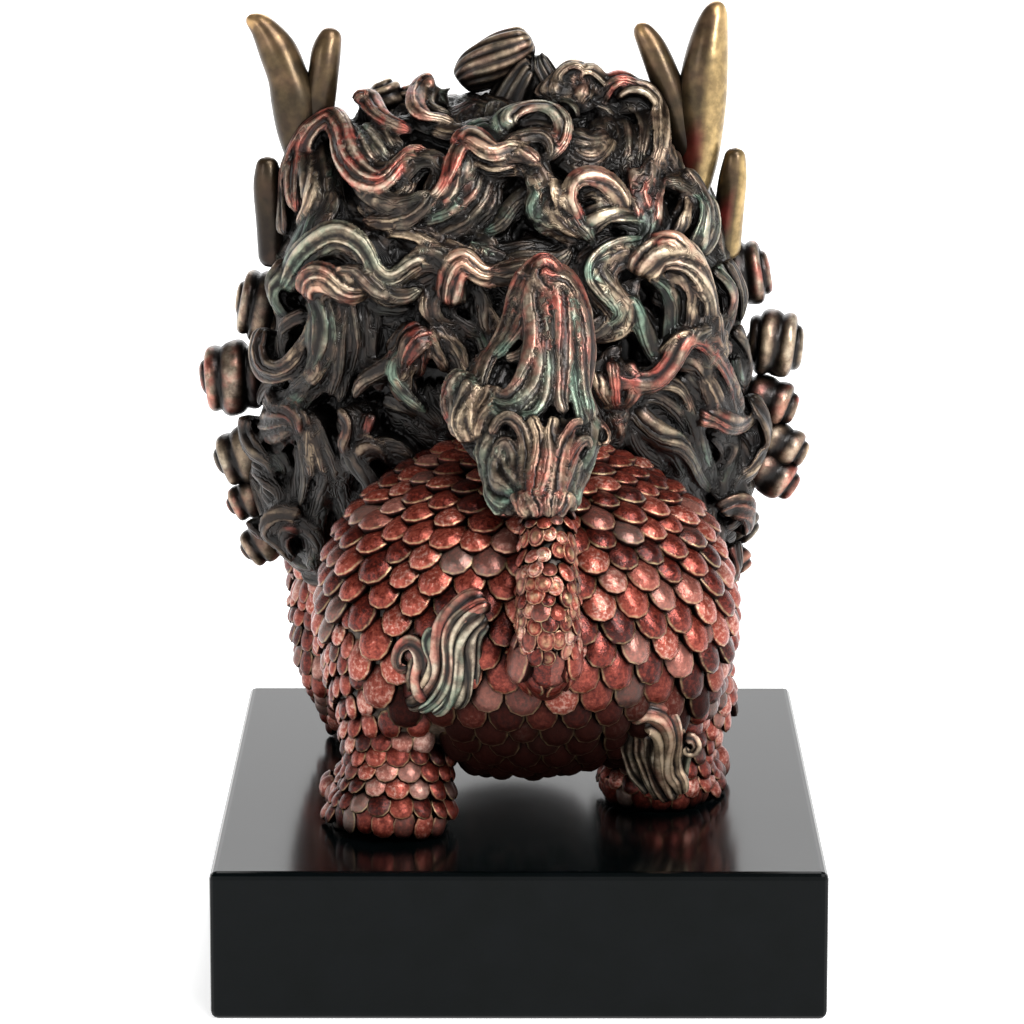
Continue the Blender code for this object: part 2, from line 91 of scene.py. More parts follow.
# Rounded masses: centre and radii.
BODY_MASSES = {
    "rump": ((-1, 31, 78), (42, 41, 35)),
    "belly": ((-1, 2, 78), (38, 42, 32)),
    "chest": ((2, -30, 82), (37, 33, 38)),
    "left thigh": ((23, 35, 74), (19, 29, 30)),
    "right thigh": ((-26, 32, 74), (19, 28, 30)),
    "left shoulder": ((34, -31, 74), (17, 22, 26)),
    "right shoulder": ((-31, -30, 74), (17, 22, 26)),
}
HEAD_MASSES = {
    "left mane fall": ((40, -16, 100), (20, 21, 28)),
    "right mane fall": ((-33, -16, 101), (20, 21, 28)),
    "skull": ((4.5, -42, 140), (31, 26, 31)),
    "nose bridge": ((4.5, -65, 140), (8, 13, 9)),
    "muzzle": ((4.5, -66, 128), (20, 16, 9)),
    "nose": ((4.5, -78, 134), (9, 5, 6)),
    "left nostril": ((11, -77, 132), (5, 5, 4.5)),
    "right nostril": ((-2, -77, 132), (5, 5, 4.5)),
    "jaw": ((4.5, -60, 107), (15, 17, 5.5)),
    "throat": ((4.5, -46, 108), (20, 18, 16)),
    "left eye socket": ((17, -63, 145), (7, 6, 6.5)),
    "right eye socket": ((-8, -63, 145), (7, 6, 6.5)),
    "left cheek": ((26, -50, 122), (10, 13, 14)),
    "right cheek": ((-17, -50, 122), (10, 13, 14)),
}

MANE_FALLS = ("left mane fall", "right mane fall")

# Round limbs: stations of x, y, z and radius, from the body outwards.
LEGS = {
    "left hind leg": ((25, 40, 66, 16), (26, 45, 54, 11.5), (26, 48, 44, 10.5), (27, 50, 32, 12.5)),
    "left hind foot": ((28, 50, 32, 12), (29, 40, 33, 12), (30, 30, 33, 10.5)),
    "right hind leg": ((-28, 30, 66, 16), (-35, 20, 55, 11.5), (-31, 24, 45, 10.5), (-30, 24, 33, 11.5)),
    "right hind foot": ((-30, 24, 32, 11.5), (-32, 13, 33, 12.5), (-33, 4, 33, 10)),
    "left foreleg": ((36, -30, 66, 16), (37, -29, 56, 13.5), (35, -34, 46, 12), (30, -39, 33, 11.5)),
    "left forefoot": ((30, -39, 32, 11.5), (29, -50, 33, 13), (28, -59, 33, 10)),
    "right foreleg": ((-34, -28, 66, 16), (-36, -28, 55, 12), (-32, -35, 45, 10), (-32, -37, 33, 11.5)),
    "right forefoot": ((-32, -37, 32, 11.5), (-33, -46, 33, 13), (-33, -55, 33, 10)),
}
# Toes, three to a paw: radii, the step from one to the next, and where each middle one stands.
TOE_RADII = (5.2, 8.0, 6.0)
TOE_GAP = 7.5
PAWS = ((30, 29), (-33, 3), (28, -60), (-33, -56))

TAIL = ((-3, 58, 80, 7), (-4, 67, 76, 7.5), (-5.5, 75.5, 76, 7.6), (-6, 79, 82, 7.2), (-6, 78.5, 88, 7),
        (-6, 76, 95, 6.8), (-6, 71, 103, 6.2), (-5, 65, 110, 5.5))
HORNS = {
    "left antler": ((45, -8, 158, 3.6), (47, -8, 167.6, 3.8), (48.7, -8, 176.5, 5), (49.8, -8, 183.3, 5.2),
                    (51.3, -8, 188.8, 4.5), (53.6, -9, 194.4, 4.2), (57, -10, 199.3, 2.8),
                    (60.3, -10, 201.3, 1.6)),
    "left tine": ((47, -8, 172, 3.4), (45, -8, 180, 3.8), (43.4, -8, 188.8, 3.4), (42.6, -9, 194.4, 3.2),
                  (41, -10, 199, 2)),
    "right antler": ((-37, -8, 160, 4), (-39.5, -8, 171, 4.6), (-40.2, -8, 182, 5.4), (-41, -8, 191, 5),
                     (-42.3, -9, 199, 3.7), (-44, -10, 205, 2)),
    "right tine": ((-38, -8, 170, 3.8), (-35, -8, 179, 3.8), (-32.5, -8, 187, 3.5), (-29.2, -9, 195, 3),
                   (-26, -10, 200, 1.7)),
    "left ear": ((54, -8, 146, 4), (54.6, -7, 156, 3.9), (55.6, -6, 165, 3.4), (55.9, -6, 171, 2)),
    "right ear": ((-45, -8, 148, 4), (-46.3, -7, 158, 3.4), (-47.2, -6, 166.5, 3.1), (-47.8, -6, 173, 2)),
}

# Rolled curls on the rim of the mane: place (x, z), radius and width of the roll.
RIM_DEPTH = -16.0
RIM_CURLS = (
    ((58, 136), 8.5, 13), ((65, 119.5), 8.6, 15), ((62, 102), 6.8, 15), ((61, 92), 4.6, 12),
    ((58, 82), 5.0, 12),
    ((-51, 143.5), 7.6, 12), ((-58, 127.5), 7.8, 13), ((-56, 114.5), 5.6, 15), ((-59, 104.5), 4.8, 14),
    ((-57, 97.5), 5.2, 14), ((-49, 87), 4.8, 12), ((-48, 79.5), 3.4, 12),
)
TOP_CURLS = (((30, 183.5), 4.2, 8), ((24.5, 183), 3.0, 7), ((-11, 186), 4.0, 8), ((-20.5, 184), 3.6, 8))
# Rings of curls round the face: depth, count and radius.
CURL_RINGS = ((-33.0, 13, 8.2), (-45.0, 11, 7.4))
# The rings of curls and the side waves run this far round the mane, over its top.
RIM_SWEEP = math.radians(250)
RING_SINKING = 3.0
# Rows of waves over the rim: first and last depth, count and width.
SIDE_WAVES = ((-27, -2, 30, 8.0), (-14, 10, 33, 7.6), (-2, 16, 35, 6.8))
# Locks draped on the flanks keep behind this depth and above this height. The hair that falls beside
# the chest begins under this height, at this distance from the middle.
DRAPE_FRONT, DRAPE_FOOT = -49.0, 72.0
FALL_TOP, FALL_ASIDE = 104.0, 30.0
CROWN_CURL = ((13, -10, 186.5, 3), (9.5, -10, 189.5, 5), (3, -10, 193.5, 5.2), (-2.5, -10, 197, 3.4))
CROWN_STEM = ((2, -10, 180, 7), (0, -9, 187, 5), (-3, -9, 191, 3.5), (-8, -8, 184, 3.5))

# Waves on the back of the mane. They are drawn as they show from the viewpoint, as x and z on an
# upright plane, and pressed onto the mane along the lines of sight. Each has the tint at its root
# and tip, its width and its height above the mane, then its course from the root to the tip.
VIEWPOINT = np.array((-1.3, 1153.8, 324.5))
DRAWN_DEPTH = 26.0
WAVES = (
    # the great wave at the upper left, with the strands that fall from it and nest in it
    ("plain red", 3.6, 6, (50.5, 158), (50.5, 168), (49.3, 175), (46.3, 181.3), (41.5, 184.3)),
    ("red red", 4.4, 8.5, (48, 163), (47.3, 173), (45, 180), (40.5, 183.6), (38, 181), (37.2, 176),
     (34.5, 171.3), (31, 169.4), (28.3, 170.3), (26, 173), (23.5, 175.6), (21.5, 176), (19, 174.6)),
    ("plain gold", 3.4, 7, (45.5, 177.5), (45, 170), (45.2, 165), (48, 160.5)),
    ("plain plain", 3.0, 6, (43, 179), (42.6, 171), (42.7, 165), (45.3, 159.5)),
    ("green green", 3.2, 5, (40.2, 177), (40.4, 169), (40.3, 163), (42.8, 157.5)),
    ("plain plain", 2.8, 4, (38, 172), (38.3, 167), (37.8, 162), (39.8, 157)),
    ("gold plain", 2.8, 8, (38.7, 182), (36.8, 177.5), (34.3, 173.8), (31.5, 172)),
    ("plain plain", 2.4, 7.5, (36, 181.8), (34.3, 177.5), (32, 174.5), (30, 173.3)),
    ("green plain", 2.4, 7, (33.3, 182), (31.5, 178.5), (29.3, 175.5), (28, 174.5)),
    ("plain plain", 2.2, 6, (30.7, 181.3), (28.6, 178.8), (26.6, 176.5)),
    ("plain plain", 2.0, 5, (28, 180.5), (26.5, 178.6), (25, 177)),
    ("plain gold", 2.6, 7, (34.5, 168.8), (31.5, 166.6), (27.5, 165.9), (24, 167.8), (22, 170.3)),
    ("gold plain", 4.0, 5.5, (32.5, 166), (29.5, 163.3), (25.5, 162.6), (22.5, 164.8)),
    ("plain plain", 2.6, 4, (36, 166.5), (33.5, 162.5), (29, 160.8), (24.5, 161)),
    # small curls along the top
    ("red red", 3.6, 7, (34.7, 186.5), (33.3, 188.6), (31.5, 186), (29.8, 183.8), (26.5, 181.8),
     (23, 180.3)),
    ("red gold", 3.2, 7.5, (18, 191.4), (20.5, 191), (22.3, 188.3), (22.1, 185.2), (20, 183.7), (17, 183.5),
     (13.7, 182.4)),
    ("plain plain", 2.2, 5.5, (17.2, 190.2), (19.2, 188.3), (19.2, 186), (17.2, 185), (14.5, 184.3)),
    ("green plain", 4.2, 3.5, (17.8, 189.5), (17, 187.6), (15.5, 186.5)),
    ("plain gold", 5.0, 7, (-7.5, 186.5), (-8.3, 191), (-11, 194), (-14, 193), (-15, 189)),
    ("gold plain", 4.0, 7.5, (-13, 186.5), (-12.6, 191.5), (-15, 193.8), (-18.3, 191), (-21.3, 187.6)),
    ("red red", 3.6, 6.5, (-17.5, 187), (-19.5, 190.8), (-22.5, 192), (-26, 190), (-28.6, 186.3)),
    ("plain plain", 3.0, 4, (-11, 187), (-14, 187.2), (-18, 185.5), (-21, 183.5)),
    # the wave in the middle of the upper row, and the fan under it
    ("red gold", 4.0, 8, (13.2, 175.5), (11.7, 179), (9.6, 179.2), (7.7, 176.8), (5, 175.6), (2, 177),
     (-0.3, 176.6), (-2.2, 174), (-3.2, 170.8)),
    ("gold gold", 3.6, 6.5, (9.3, 175), (6.5, 173.3), (3.5, 173.6), (1, 174.6), (-0.6, 173),
     (-1.4, 170.5)),
    ("red red", 2.8, 8, (11.4, 179), (12.8, 177), (14.3, 173.5), (16, 169.8), (18.3, 166.6), (20, 165.2)),
    ("green red", 3.4, 7, (11, 177), (12.2, 173.3), (13.6, 169.8), (15.6, 166.2), (19.7, 164.1)),
    ("plain red", 2.6, 5.5, (9.4, 174), (9.8, 169.5), (12, 165.6), (15.5, 162.9), (19, 162.2)),
    ("plain plain", 2.4, 4.5, (7.3, 170.5), (8.2, 165.3), (10.5, 162.2), (13.7, 160.2)),
    ("plain plain", 2.2, 3.5, (5, 169), (5.6, 164.6), (8, 161.2), (10.6, 159)),
    ("green red", 3.6, 8, (2.3, 180), (3.2, 182.3), (1.4, 184.4), (-3, 185.8), (-6.7, 185.2), (-9.2, 182.8),
     (-9.6, 179.3), (-8.3, 176.3), (-5.8, 173.8)),
    ("plain plain", 2.4, 6.3, (1, 182), (-2, 183.3), (-5.5, 182.7), (-7.5, 180.3), (-6.8, 177.3),
     (-5.3, 175.6)),
    ("plain plain", 2.2, 4.6, (0.2, 180.2), (-3, 181), (-5.2, 179.5), (-4.8, 177)),
    ("plain gold", 1.8, 6.5, (-2.8, 171.2), (-4.4, 169), (-3.2, 167.6)),
    ("green plain", 2.0, 5, (-9, 187), (-11.6, 186), (-12.6, 183.4)),
    # the arch at the upper right
    ("plain gold", 4.6, 7.5, (-21, 187.5), (-23.5, 189.4), (-27, 189), (-29.6, 185.8), (-30.5, 180),
     (-30, 175), (-28.3, 170.8)),
    ("plain plain", 3.2, 5.5, (-21, 184.5), (-23.5, 186.3), (-26, 184.8), (-27.3, 180.8), (-27, 176),
     (-26.3, 171.2)),
    ("plain plain", 2.6, 3.8, (-21.5, 182), (-23.3, 182), (-24.2, 177.8), (-23.4, 173.8), (-24.3, 170.8)),
    ("plain plain", 2.6, 2.6, (-19.3, 184), (-21, 180), (-20.8, 175.5)),
    ("gold gold", 2.4, 6, (-31, 179), (-30.2, 175.5), (-31, 171.5)),
    ("gold plain", 2.2, 5, (-31.6, 178), (-32.8, 174), (-34.6, 170.3)),
    ("plain plain", 2.2, 4, (-33.3, 176), (-35, 172), (-36.8, 168.5)),
    ("plain plain", 3.4, 5, (-10.2, 180.3), (-13, 178.4), (-16.3, 178.4), (-18.8, 180.6)),
    ("plain gold", 3.2, 4.5, (-9.3, 177.8), (-12, 175.2), (-15.5, 174.8), (-18.5, 176.5), (-20.3, 179)),
    ("plain plain", 2.8, 3.6, (-8.3, 175.3), (-11.3, 172.4), (-14.5, 172.2), (-17.3, 174.3), (-19.2, 176)),
    ("gold red", 3.4, 8, (-22.6, 163.5), (-21.3, 166.6), (-19, 169.5), (-15.5, 171), (-12, 170.2),
     (-10.7, 167.3), (-11.4, 164.3), (-13, 161.3), (-14.4, 158.3)),
    ("plain gold", 2.4, 6, (-20.3, 163.8), (-18.3, 166.2), (-15.2, 167.3), (-12.8, 166.3)),
    ("gold green", 2.8, 7, (-14.4, 159.3), (-16.5, 161.3), (-20, 162.6), (-23.5, 162), (-26.8, 161.2)),
    ("plain green", 2.4, 5.8, (-13.6, 162), (-17, 163.7), (-21, 163.4), (-25, 164)),
    ("green gold", 5.5, 5.5, (-4.8, 165.5), (-6.8, 162), (-10, 160.6), (-13.6, 160.8)),
    ("gold gold", 2.0, 7.5, (-7.5, 170.5), (-7.8, 166.4), (-9.6, 162.8)),
    ("gold plain", 2.0, 7.5, (-9.4, 169.8), (-9.5, 166), (-11.2, 162.6)),
    ("red red", 3.2, 6, (-26, 172), (-25.6, 167.8), (-26.6, 163), (-27, 158.8)),
    ("red plain", 3.0, 6, (-28.8, 170.5), (-29, 166), (-29.4, 161.3), (-28.6, 158.3)),
    ("green green", 4.2, 4, (-22.6, 169.5), (-23.8, 166.2), (-24.4, 162.6)),
    ("plain plain", 2.6, 4, (-29.5, 168.5), (-33, 169), (-36.8, 168.3)),
    ("gold gold", 2.4, 7, (-32.8, 158), (-35, 160.4), (-36.3, 163.4), (-36, 166.3)),
    ("green green", 3.0, 7.5, (-37, 155.3), (-38.9, 158.4), (-39.7, 162), (-39, 165.6), (-36.6, 167.2)),
    ("plain green", 2.8, 6.3, (-38.6, 153.6), (-41, 157.8), (-42, 162), (-41.2, 165.6), (-38.6, 167.8)),
    # the great wave at the middle left
    ("green gold", 4.4, 8.5, (51, 146.5), (48.7, 150.4), (46, 154.2), (40, 158.2), (35.8, 157),
     (33.2, 154.6), (31.2, 150.7), (28.6, 148.7), (26, 149.3), (23, 152), (21, 152.8), (19, 151.7),
     (16.8, 151.5)),
    ("plain green", 3.4, 7, (49.5, 152.5), (52.6, 148), (52.6, 143.8), (50, 140)),
    ("plain plain", 3.2, 7, (46.3, 149.5), (43.4, 154), (39, 155.2), (35.4, 153), (33, 149.3), (30, 146),
     (27.3, 145.8), (24, 147.3), (21.3, 149.7)),
    ("plain gold", 2.8, 5.7, (44.5, 148.7), (41.7, 151.8), (38, 152.2), (34.6, 149.3), (31.6, 145.8),
     (28.5, 143.8), (25, 144.3), (22, 147)),
    ("green plain", 2.6, 4.3, (42, 147.5), (39.6, 149.6), (37, 149.7), (34, 146.3), (31, 142.8),
     (27, 141.6), (23, 142.2)),
    ("plain plain", 2.4, 3, (38, 146.5), (34.5, 143), (30, 139.8), (26, 139.3)),
    ("gold gold", 2.0, 6.5, (29.3, 159.4), (24.6, 158.5), (20, 156.7), (16.6, 154.5), (15.3, 151.7)),
    ("plain plain", 2.0, 5, (26.7, 157.4), (22.6, 156), (19.2, 153.7)),
    ("plain plain", 2.0, 5, (31.2, 158.6), (28.6, 157.6), (27.2, 154.8)),
    ("red gold", 5.4, 9.5, (44.6, 144.6), (43.8, 147.6), (41.3, 148.6), (38.3, 146.9), (35, 146),
     (32.4, 146.4)),
    ("green plain", 5.6, 8.5, (43.2, 147), (42, 142), (42, 136), (43, 130.3), (45.7, 126), (49.7, 123)),
    ("plain plain", 3.6, 7.5, (40, 146), (39.2, 140), (39, 134), (39.2, 128), (41.3, 123)),
    ("plain plain", 3.2, 6.3, (37, 145.5), (36.2, 140), (36, 133), (37.2, 126)),
    ("plain plain", 2.8, 5, (34.2, 145), (33.5, 139), (33.5, 133), (35, 127.5)),
    ("plain plain", 2.6, 3.6, (31.6, 144.3), (31.2, 138), (31.5, 131.5)),
    ("gold gold", 4.6, 8.5, (54.5, 138), (56, 133), (54.5, 128.7), (50.6, 129), (46.9, 133),
     (45.3, 137.3)),
    ("plain plain", 2.8, 6.5, (46, 140.8), (49, 140.2), (51.3, 137), (51.2, 133.3)),
    ("plain plain", 3.2, 5, (51, 127), (54, 125.5), (56.8, 121)),
    ("red gold", 3.0, 7.5, (53.8, 124), (53.4, 120), (52.6, 117.2)),
    ("gold red", 5.6, 8, (54.6, 117.5), (52, 117.6), (49.6, 119), (47.4, 117.3), (47, 112.5)),
    ("red red", 3.6, 7, (53, 112.5), (51, 115.3), (49.3, 112.6)),
    ("gold plain", 3.8, 7.5, (58.6, 118.8), (59, 114.6), (57.2, 111.4), (54.6, 108.3), (53.6, 105.6)),
    ("plain plain", 2.8, 7, (54.2, 120.6), (55, 116.6), (56.4, 112.2)),
    ("green green", 3.6, 6, (53.2, 112), (51.6, 109), (51, 105.6)),
    # the knot of small waves between the rump and the left of the mane
    ("gold red", 2.4, 8, (39.2, 119.5), (37.5, 118), (37.2, 115), (38.4, 112.4), (37, 109.8),
     (34.8, 108.2)),
    ("red red", 2.4, 6.5, (32.3, 119.6), (33, 116), (34.6, 113), (35.6, 111.3)),
    ("plain gold", 4.4, 7.5, (37, 109.2), (34.6, 110.9), (31.5, 111.5), (28.6, 109.9), (26.8, 107.4)),
    ("red red", 5.0, 8.5, (20.6, 137.4), (22.3, 135.5), (24.3, 132.8), (26.6, 129.8), (25.8, 126.6)),
    ("gold red", 3.2, 7.7, (20.3, 137), (21.3, 133), (21.9, 126.8)),
    ("gold plain", 2.6, 7, (19.9, 137.2), (18, 133), (16, 128)),
    ("gold plain", 4.6, 6.5, (31.7, 127.4), (29.2, 128.9), (26.3, 127)),
    ("plain plain", 2.2, 5, (29.6, 122.3), (27, 121.3), (24, 120), (21.8, 118)),
    # the low wave beside the plume
    ("red gold", 4.4, 8.5, (14.8, 142.4), (14.9, 147), (13.8, 151.2), (12, 152.6), (9.9, 150.9),
     (7.5, 149.1), (4.5, 149.3), (2.5, 150.9), (0.6, 150.8)),
    ("plain plain", 2.4, 6.5, (13, 142.8), (12.8, 147), (11, 149.2), (8.5, 148)),
    ("green green", 3.2, 5, (11, 154.8), (7.6, 153.8), (4.4, 154.5)),
    ("plain plain", 2.0, 4, (9.6, 157.6), (6, 156.8), (4.3, 153.9)),
    ("plain plain", 2.0, 4.2, (7.6, 147), (8, 143), (7.4, 138.8)),
    ("plain gold", 2.2, 4.6, (8.2, 143), (5.6, 140), (3.4, 137.8)),
    ("plain plain", 2.4, 5.5, (17, 148), (18.6, 144.5), (18, 141.4), (16.4, 139.4), (13, 138)),
    ("gold plain", 2.0, 6, (20, 146.6), (21, 143), (19.5, 140), (17, 138)),
    ("plain plain", 2.0, 5, (19, 136.6), (16.6, 134.7), (15, 132.3), (14.6, 128.8)),
    # the strands that wind down to the plume from the right
    ("green green", 2.4, 8, (-26.5, 156.9), (-21.3, 156.3), (-17, 154.4), (-15, 151.5), (-15.3, 148.4),
     (-18, 145.2), (-20.5, 142.9), (-21.4, 140.8), (-19.8, 139), (-15.3, 138.1)),
    ("gold green", 2.4, 7.4, (-26.3, 154.7), (-21.6, 154.2), (-18.2, 152.4), (-17, 150.3), (-18.2, 147.8),
     (-20.6, 145.6), (-22.7, 142.7), (-22.7, 139.4), (-19.9, 137.2), (-15.3, 136.5)),
    ("plain gold", 2.2, 6.7, (-24.6, 152.7), (-21.6, 151.9), (-19.9, 149.9), (-20.6, 147.2), (-23, 144),
     (-24.1, 140.5), (-22.9, 137), (-19, 135.3), (-14.5, 135.2)),
    ("plain plain", 2.0, 5.5, (-24.4, 149), (-24.7, 145), (-25.6, 141), (-27.2, 137.6)),
    ("plain plain", 1.8, 4.2, (-12.5, 146), (-15.5, 143.4), (-17.5, 140.3)),
    ("plain plain", 1.8, 3.8, (-13.8, 147.6), (-17, 144.6), (-19, 142)),
    # the great arch at the middle right
    ("gold plain", 5.4, 9, (-26, 149), (-28, 152.9), (-31.5, 154.6), (-35.5, 153.5), (-38.5, 150),
     (-40.5, 145), (-41, 140), (-39.8, 135)),
    ("red gold", 2.6, 9.7, (-28.4, 156.2), (-32.5, 157.5), (-36, 155.7), (-38.9, 152.3), (-40.6, 148.5)),
    ("gold plain", 3.4, 7.5, (-30.8, 150.5), (-34.5, 150), (-37, 146.4), (-37.4, 142), (-36.4, 135.5)),
    ("plain plain", 2.8, 6, (-29.8, 147.3), (-33, 146.7), (-34.4, 142.4), (-33.8, 136.5)),
    ("plain plain", 2.4, 4.6, (-28.3, 145), (-31, 143.6), (-31.6, 139), (-31, 134.6)),
    ("green red", 3.2, 6, (-41.5, 151.2), (-44, 148.5), (-45.9, 145), (-45.4, 140), (-43.4, 136.2)),
    ("plain plain", 2.8, 4.6, (-43.8, 152.3), (-46.6, 149), (-48.3, 145), (-47.6, 139)),
    ("gold gold", 3.4, 7, (-42.4, 138), (-43.3, 134.6), (-45.8, 133.2)),
    ("plain plain", 2.8, 5.6, (-46, 138.3), (-48.6, 134), (-49.6, 129), (-49, 124.6)),
    ("green green", 3.6, 4.6, (-45.8, 131.4), (-47.5, 127.5), (-48, 124)),
    # the long wave at the right of the plume, and the shells under it
    ("red red", 3.8, 9, (-17, 126.4), (-20.5, 126.2), (-25, 125.9), (-29, 126.5), (-32, 129.5),
     (-34.2, 133.2), (-36.7, 135.6), (-40, 134.4), (-43, 130.4), (-45.4, 125.4), (-46.9, 121)),
    ("gold gold", 2.4, 8.6, (-31, 131), (-33, 135), (-36.2, 137), (-40.2, 136)),
    ("plain plain", 2.6, 7, (-25, 127.2), (-28, 128), (-30.2, 130.2), (-29.4, 133.4)),
    ("plain gold", 3.0, 7, (-33.3, 130.4), (-37, 130.6), (-40.2, 128), (-41.7, 123)),
    ("plain plain", 2.6, 5.6, (-34.6, 127.6), (-38.4, 124.3), (-40, 118.8)),
    ("plain gold", 2.8, 6.5, (-25.8, 124), (-30, 126), (-34, 125), (-36.7, 121), (-38, 116.2)),
    ("plain plain", 2.6, 5.5, (-25, 121.5), (-28, 123.2), (-32, 121.7), (-34.9, 118), (-36.6, 113.6)),
    ("plain plain", 2.4, 4.4, (-26, 119.3), (-29, 120.3), (-32, 118.3), (-34.2, 114.6)),
    ("gold green", 3.8, 7.5, (-24.4, 119.8), (-27.5, 116.8), (-31, 114), (-34.5, 112.4), (-37, 109),
     (-39, 105), (-42.2, 101.8)),
    ("plain green", 2.8, 6, (-25.8, 114), (-29, 111.4), (-33, 110.2), (-35, 107), (-36.6, 101.8)),
    ("plain plain", 2.6, 5.2, (-35, 116), (-38, 111.4), (-40, 107), (-42.8, 103.6)),
    ("red gold", 3.6, 8.5, (-38.8, 118.9), (-42, 118.3), (-45.6, 116.8), (-49, 116.6), (-51.2, 119.4)),
    ("plain gold", 4.2, 6.5, (-49.5, 123.4), (-52, 118.5), (-53, 113.4), (-51.8, 109.8), (-50, 106.4),
     (-47.3, 104)),
    ("plain plain", 2.8, 5.2, (-43, 115.6), (-46, 113.8), (-46.6, 111), (-44.6, 107), (-43, 104.3)),
    ("plain plain", 2.6, 4.2, (-41, 115), (-43.6, 112.4), (-43.6, 109), (-41.4, 105.6)),
    ("plain plain", 3.0, 5, (-33, 107), (-34.6, 102.8), (-35, 98)),
    ("plain plain", 2.8, 4, (-30.5, 106), (-32, 102), (-32.4, 98)),
    ("plain plain", 3.2, 5, (-46, 104.4), (-48.2, 99.8), (-47.4, 95.6), (-44, 93)),
    ("gold red", 4.6, 7, (-43.5, 98.2), (-47, 99.6), (-50, 97), (-49, 92)),
    ("plain plain", 3.4, 5, (-40, 99), (-41.6, 94), (-40.6, 88)),
    ("red plain", 2.8, 5, (-46, 90.5), (-47.6, 86), (-46, 81)),
    # the small bud and hook beside the plume
    ("plain plain", 7.0, 6, (-20.3, 130.5), (-21, 125.3), (-21, 119.6)),
    ("red red", 2.0, 8.6, (-19.6, 130.7), (-20.8, 125), (-21, 119.4)),
    ("red red", 2.6, 8.4, (-22.6, 129.9), (-24.9, 126.2), (-24.3, 122.4), (-21.4, 119.2)),
    ("gold gold", 2.2, 8, (-16.3, 128.3), (-17.9, 124), (-20.6, 119.4)),
    ("red gold", 1.9, 8, (-20.7, 118.8), (-22, 116.5), (-21.8, 113.8), (-20, 112.6)),
    # the lower left
    ("plain plain", 2.8, 6, (57.6, 108), (55, 104.4), (52.6, 101.8), (51.2, 97.6)),
    ("plain plain", 3.4, 5, (47.6, 112.3), (47, 107), (48.5, 102), (49, 97)),
    ("plain plain", 3.2, 5, (44, 112.4), (42, 106), (43.5, 100), (45.6, 95.6)),
    ("plain plain", 4.2, 4.2, (40.3, 114.4), (38, 108), (38.6, 102.8), (36, 98)),
    ("plain plain", 3.0, 4, (33, 106), (31.8, 102), (33, 97.6)),
    ("gold gold", 3.2, 6.6, (47.3, 96), (51, 97.2), (54, 95.5), (54.9, 92.4), (52, 89.8), (49.6, 86)),
    ("red plain", 2.8, 6, (47.7, 93.3), (50.5, 93.6), (51.2, 90.2), (48.8, 87)),
    ("red red", 2.6, 6, (58.6, 95.8), (57.5, 93), (54.9, 91.2)),
    ("plain plain", 3.0, 4, (44.4, 96), (44, 92), (46, 87)),
)

